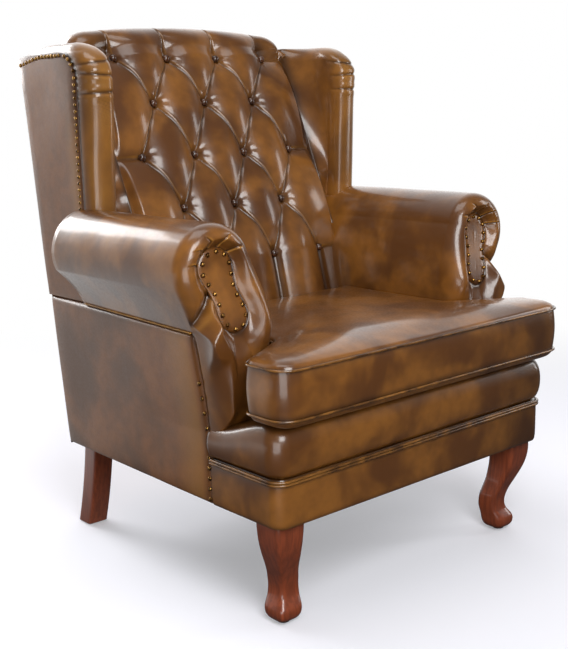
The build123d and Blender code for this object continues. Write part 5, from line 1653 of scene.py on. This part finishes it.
def cushion_outline(inset=0.0):
    """The T as a closed line of (x, y) points, clockwise from above: straight runs joined by arcs
    that touch both runs. An inset moves every run inwards."""
    corners = np.array(half_corners + tuple((-x, y) for x, y in half_corners[::-1]))
    rounds = np.array(half_rounds + half_rounds[::-1])
    ahead = np.roll(corners, -1, axis=0) - corners
    ahead = ahead / np.linalg.norm(ahead, axis=1, keepdims=True)
    before = np.roll(ahead, 1, axis=0)
    inward = np.stack([ahead[:, 1], -ahead[:, 0]], axis=1)
    turn_sign = np.sign(before[:, 0] * ahead[:, 1] - before[:, 1] * ahead[:, 0])
    cosine = np.sum(before * ahead, axis=1)
    inward_before = np.roll(inward, 1, axis=0)
    corners = corners + (inward + inward_before) * inset / (1 + cosine)[:, None]
    rounds = np.maximum(rounds + turn_sign * inset, 0.003)
    cut = rounds * np.sqrt((1 - cosine) / (1 + cosine))
    starts, ends = corners - before * cut[:, None], corners + ahead * cut[:, None]
    line = []
    for k in range(len(corners)):
        line.append(bend_to(starts[k], corners[k], ends[k], corner_points))
        line.append(line_to(ends[k], starts[(k + 1) % len(corners)], straight_points))
    return np.concatenate(line)


seam_line = cushion_outline()
seam_length = np.linalg.norm(np.roll(seam_line, -1, axis=0) - seam_line, axis=1).sum()
print("cushion's seam", round(float(seam_length), 3), "m round")

# %% Rings of the cushion
def cushion_rings(skin=0.0):
    """Rings from the middle of the bottom, out to the low seam, up the boxing to the high seam, and
    in over the crown. The boxing bulges as a sine. Below and above the seams the case turns in as
    a quarter round over a strip. The crown then rises a little more, as a dome that falls off as
    powers of the ways across and along the seat. Behind, the boxing lies flat under the zip. With
    a skin it is the foam inside."""
    middle = cushion_middle
    low, high = cushion_low + 0.0008 + skin, cushion_high - skin
    rings = []
    edge = cushion_outline(crown_strip + skin)
    for share in (0.15, 0.4, 0.65, 0.85):
        rings.append(np.insert(middle + (edge - middle) * share, 2, low, axis=1))
    for turn in np.radians((80, 62, 44, 27, 12)):
        z = cushion_seams[0] + (low - cushion_seams[0]) * math.sin(turn)
        rings.append(np.insert(cushion_outline(skin + crown_strip * (1 - math.cos(turn))), 2, z, axis=1))
    for share in np.linspace(0, 1, boxing_levels):
        z = cushion_seams[0] + (cushion_seams[1] - cushion_seams[0]) * share
        boxing = cushion_outline(skin + 0.001 - boxing_bulge * math.sin(math.pi * share))
        behind = smooth(boxing[:, 1], 0.045, 0.058) * (1 - smooth(np.abs(boxing[:, 0]), 0.212, 0.228))
        boxing[:, 1] -= (boxing[:, 1] - (zip_bed_y - skin)) * behind * math.sin(math.pi * share) ** 0.5
        rings.append(np.insert(boxing, 2, z, axis=1))
    for turn in np.radians((12, 26, 40, 54, 68, 80)):
        z = cushion_seams[1] + (high - cushion_seams[1]) * math.sin(turn)
        rings.append(np.insert(cushion_outline(skin + crown_strip * (1 - math.cos(turn))), 2, z, axis=1))
    for share in (1.0, 0.96, 0.9, 0.82, 0.72, 0.6, 0.46, 0.3, 0.12):
        flat = middle + (edge - middle) * share
        across = np.abs(flat[:, 0]) / crown_half_width
        deep = np.abs(flat[:, 1] - middle[1]) / crown_half_length
        z = high + 0.0004 + crown_rise * (1 - across ** 2.5) * (1 - deep ** 3) * (1 - share ** 2)
        rings.append(np.column_stack([flat, z]))
    return np.array(rings)


print("cushion:", len(cushion_rings()), "rings")

# %% [markdown]
# The cloth solver fills the case with pressure, as foam and feathers do: the panels between the
# seams swell, and the seams stay. It starts from an even mesh of small squares, and no point may
# move further than a cap.

# %% Blow up the cushion
cloth_frames, cloth_voxel, cloth_quality = 20, 0.006, 6
cloth_pressure, cloth_stiffness, cloth_bending = 3.0, 40, 8.0
most_swelling = 0.008
seam_band = 0.005
foam_skin = 0.004
cushion_welt_radius, cushion_welt_out = 0.0023, 0.0014


def shade_cushion(mesh, points, seams):
    """Painted shade beside both seams, on the side of the boxing, and just above the top seam, and
    painted shade at the front's far end.
    """
    low, high = (points[:, 2] - seams[0]), (seams[1] - points[:, 2])
    boxing = (low > -0.004) & (high > -0.001)
    dark = boxing * (0.75 * np.exp(-(low / 0.008) ** 2) + 0.5 * np.exp(-(high / 0.006) ** 2))
    dark = np.maximum(dark, boxing * 0.8 * end_shade_and_stain(points))
    dark = np.maximum(dark, (high <= -0.001) * 0.35 * np.exp(-(high / 0.003) ** 2))
    layer = mesh.attributes.new("hollow", "FLOAT", "POINT")
    layer.data.foreach_set("value", np.ascontiguousarray(np.clip(dark, 0, 1), dtype=np.float32))


# Painted shade lies beside these seams
print("stain is left beside the seams at", cushion_seams)

# %% Cloth solver
def point_places(mesh):
    """The mesh's points as an array (n, 3)."""
    places = np.empty(len(mesh.vertices) * 3)
    mesh.vertices.foreach_get("co", places)
    return places.reshape(-1, 3)


def keep_modified(piece):
    """Give the piece the mesh that its modifiers make of it, and take them off."""
    made = bpy.data.meshes.new_from_object(piece.evaluated_get(bpy.context.evaluated_depsgraph_get()))
    piece.modifiers.clear()
    old, piece.data = piece.data, made
    bpy.data.meshes.remove(old)
    return made


def blow_up(piece, start, seams):
    """Fill the case with pressure in the cloth solver, with its seams, its bottom and the bed of the
    zip held, and move each point as the cloth moved, but no further than the cap."""
    held = piece.vertex_groups.new(name="seam")
    near = np.min([np.abs(start[:, 2] - z) for z in seams], axis=0) < seam_band
    low = start[:, 2] < seams[0]
    bed = (start[:, 1] > 0.052) & (np.abs(start[:, 0]) < 0.225)
    held.add(np.flatnonzero(near | low | bed).tolist(), 1.0, "REPLACE")
    cloth = piece.modifiers.new("stuffing", "CLOTH")
    cloth.settings.use_pressure = True
    cloth.settings.uniform_pressure_force = cloth_pressure
    cloth.settings.vertex_group_mass = "seam"
    cloth.settings.effector_weights.gravity = 0.0
    cloth.settings.tension_stiffness = cloth.settings.compression_stiffness = cloth_stiffness
    cloth.settings.bending_stiffness = cloth_bending
    cloth.settings.quality = cloth_quality
    cloth.point_cache.frame_start, cloth.point_cache.frame_end = 1, cloth_frames
    for frame_number in range(1, cloth_frames + 1):
        bpy.context.scene.frame_set(frame_number)
    depsgraph = bpy.context.evaluated_depsgraph_get()
    step = point_places(piece.evaluated_get(depsgraph).to_mesh()) - start
    piece.evaluated_get(depsgraph).to_mesh_clear()
    piece.modifiers.clear()
    piece.vertex_groups.clear()
    bpy.context.scene.frame_set(1)
    length = np.linalg.norm(step, axis=1, keepdims=True)
    step = step * np.minimum(1, most_swelling / np.maximum(length, 1e-9))
    piece.data.vertices.foreach_set("co", (start + step).ravel())
    print("cloth moved the case up to", round(float(length.max()) * 1000, 1), "mm")


def swell(piece, seams):
    """Remesh a closed case, blow it up, and make its mesh finer."""
    remesh = piece.modifiers.new("even_mesh", "REMESH")
    remesh.mode, remesh.voxel_size = "VOXEL", cloth_voxel
    start = point_places(keep_modified(piece))
    blow_up(piece, start, seams)
    subdivide = piece.modifiers.new("finer", "SUBSURF")
    subdivide.levels = subdivide.render_levels = 1
    finer = keep_modified(piece)
    finer.materials.clear()
    finer.materials.append(hide)
    finer.shade_smooth()
    shade_cushion(finer, point_places(finer), seams)
    finer.update()


# %% Cushion, filling and welts
points, faces = ringed(cushion_rings())
cushion = put_piece("seat_cushion_case", points, faces, hide, "seat_cushion", ["cushion_cover"])
swell(cushion, cushion_seams)
points, faces = ringed(cushion_rings(skin=foam_skin))
put_piece("cushion_filling", points, faces, seat_foam, "seat_cushion", ["cushion_foam"])
for number, z in enumerate(cushion_seams):
    route = np.insert(cushion_outline(-cushion_welt_out), 2, z, axis=1)
    rings = cord_rings(route, cushion_welt_radius, cord_sides, closed=True)
    stands = ["cushion_welts"] if number == 0 else []
    hoop = joined_rings(len(rings), cord_sides, hoop=True)
    put_piece(
        f"cushion_welt_{number + 1}", rings.reshape(-1, 3), [hoop], welt_hide, "seat_cushion",
        stands,
    )

# %% [markdown]
# The front legs are cabriole: sawn from a square block with one pattern on two faces, so that the
# knee and the toe point out along the diagonal, then rounded by hand. Every level of the leg is
# therefore a square from the pattern's back line to its front line, with round corners. The rear
# legs are square and swept back.

# %% Legs
leg_block, knee_reach, leg_height, glide_height = 0.062, 0.008, 0.197, 0.003
front_leg_x, front_leg_y, front_leg_rings = 0.304, -0.318, 90
rear_leg_x, rear_leg_y, rear_leg_half, rear_leg_rings = 0.300, 0.282, 0.023, 50
rear_sweep, rear_bow, rear_round = 0.047, 0.005, 9.0
leg_sharp = 50
# The pattern: how far out its front and back lines lie at each level, in widths of the block
leg_levels = (
    0.0, 0.02, 0.05, 0.09, 0.135, 0.17, 0.21, 0.26, 0.31, 0.38, 0.45, 0.54, 0.63, 0.74, 0.84, 0.93, 1.0,
)
pattern_front = (
    0.20, 0.31, 0.38, 0.40, 0.37, 0.30, 0.21, 0.155, 0.14, 0.17, 0.23, 0.34, 0.45, 0.555, 0.60, 0.60, 0.57,
)
pattern_back = (
    -0.20, -0.36, -0.44, -0.48, -0.50, -0.515, -0.54, -0.56, -0.56, -0.54, -0.49, -0.43, -0.40, -0.38, -0.39,
    -0.42, -0.45,
)
foot_round, knee_round = 3.6, 8.0
leg_ring_points = 64


def smooth_through(knots, values, at):
    """A curve through the values: between two knots it is the cubic whose slopes at the knots are
    the mean slopes of the gaps on either side."""
    knots, values = np.array(knots), np.array(values)
    slopes = np.gradient(values, knots)
    k = np.clip(np.searchsorted(knots, at) - 1, 0, len(knots) - 2)
    gap = knots[k + 1] - knots[k]
    t = (at - knots[k]) / gap
    return (
        (2 * t ** 3 - 3 * t ** 2 + 1) * values[k] + (t ** 3 - 2 * t ** 2 + t) * gap * slopes[k]
        + (3 * t ** 2 - 2 * t ** 3) * values[k + 1] + (t ** 3 - t ** 2) * gap * slopes[k + 1]
    )


def square_ring(power):
    """The directions of a square with round corners: cos and sin of the angle, each to the power
    2 / power, with its own sign."""
    turn = 2 * np.pi * np.arange(leg_ring_points) / leg_ring_points
    bent = [np.sign(f(turn)) * np.abs(f(turn)) ** (2 / power) for f in (np.cos, np.sin)]
    return np.stack(bent, axis=1)


def cabriole_leg():
    """Rings of the right front leg. Its front line reaches out to +X and to -Y alike."""
    level = np.linspace(0, 1, front_leg_rings)
    front = smooth_through(leg_levels, pattern_front, level) * leg_block + level * knee_reach
    back = smooth_through(leg_levels, pattern_back, level) * leg_block + level * knee_reach
    middle, half = (front + back) / 2, (front - back) / 2
    ring = np.array([square_ring(foot_round + (knee_round - foot_round) * share ** 0.8) for share in level])
    x = front_leg_x + middle[:, None] + half[:, None] * ring[..., 0]
    y = front_leg_y - middle[:, None] - half[:, None] * ring[..., 1]
    z = glide_height + level * leg_height
    return np.stack([x, y, np.broadcast_to(z[:, None], x.shape)], axis=-1)


def swept_leg():
    """Rings of the right rear leg: a square that moves back on a curve as it goes down."""
    level = np.linspace(0, 1, rear_leg_rings)
    down = 1 - level
    y = rear_leg_y + rear_sweep * down - 4 * rear_bow * down * (1 - down)
    ring = square_ring(rear_round) * rear_leg_half
    x = rear_leg_x + ring[None, :, 0] + 0 * y[:, None]
    z = (glide_height + level * leg_height)[:, None] + 0 * x
    return np.stack([x, y[:, None] + ring[None, :, 1], z], axis=-1)


for leg, node in ((cabriole_leg, "front_leg"), (swept_leg, "rear_leg")):
    points, faces = ringed(leg())
    put_pair(leg.__name__, points, faces, stained_birch, node, None, leg_sharp)

# %% [markdown]
# Nails close the panels: a spaced line down the front of each outside arm, and a tight row round
# the wing's panel. They are the same domed heads, set along straight lines.

# %% Nail lines
side_pitch, band_pitch = 0.028, 0.021
side_nail_y = nail_line_y + 0.005
band_nail_low, roll_nail = 0.208, 0.3125
# Where the line on the flare starts and ends: how far out of the base, and how high
flare_nails = ((0.0015, 0.340), (0.0142, 0.424))
wing_nail_low, wing_line_nails, corner_line_nails, top_line_nails = 0.701, 20, 5, 13


def nail_line(start, end, pitch):
    """Places from start to end, as near the pitch as fits."""
    start, end = np.array(start), np.array(end)
    gaps = max(1, round(float(np.linalg.norm(end - start)) / pitch))
    return start + (end - start) * (np.arange(gaps + 1) / gaps)[:, None]


flare_lean = math.atan2(seam_flare_front, seam_z - stump_z)
low_nails = np.concatenate([
    nail_line((base_half, side_nail_y, band_nail_low), (base_half, side_nail_y, band_top), band_pitch),
    [(base_half, side_nail_y, roll_nail)],
])
high_nails = nail_line(*((base_half + out, side_nail_y, z) for out, z in flare_nails), side_pitch)
nail_inset = 0.006
corner_nails = panel_corner - nail_inset
corner_y, corner_z = panel_front_y + panel_corner, panel_top - panel_corner
wing_top_y = np.linspace(corner_y + 0.008, outside_back_y(panel_top) - 0.010, top_line_nails)
wing_front_y = panel_front_y + nail_inset
wing_path = np.concatenate([
    line_to((wing_front_y + 0.006, wing_nail_low), (wing_front_y, corner_z), wing_line_nails),
    arc_of((corner_y, corner_z), (corner_nails, corner_nails), 180, 90, corner_line_nails),
    np.stack([wing_top_y, panel_top - nail_inset - rear_arch(wing_half, wing_top_y)], axis=1),
])
wing_line = np.insert(wing_path, 0, wing_half, axis=1)
sideways = np.array([1.0, 0, 0])
leaning = np.array([math.cos(flare_lean), 0, -math.sin(flare_lean)])
for name, groups, node in (
    ("side_nail_heads", ((low_nails, sideways), (high_nails, leaning)), "side_nails"),
    ("wing_nail_heads", ((wing_line, sideways),), "wing_nails"),
):
    all_points, all_faces, shift = [], [[], [], []], 0
    for centres, outward in groups:
        for flip in (1.0, -1.0):
            sign = np.array([flip, 1.0, 1.0])
            heads, head_faces = domed_heads(
                centres * sign, outward * sign, nail_radius, nail_height, nail_sides, nail_levels,
            )
            all_points.append(heads)
            for kind in range(3):
                all_faces[kind].append(head_faces[kind] + shift)
            shift += len(heads)
    put_piece(
        name, np.concatenate(all_points), [np.concatenate(kind) for kind in all_faces], pressed_brass,
        "chair", [node],
    )
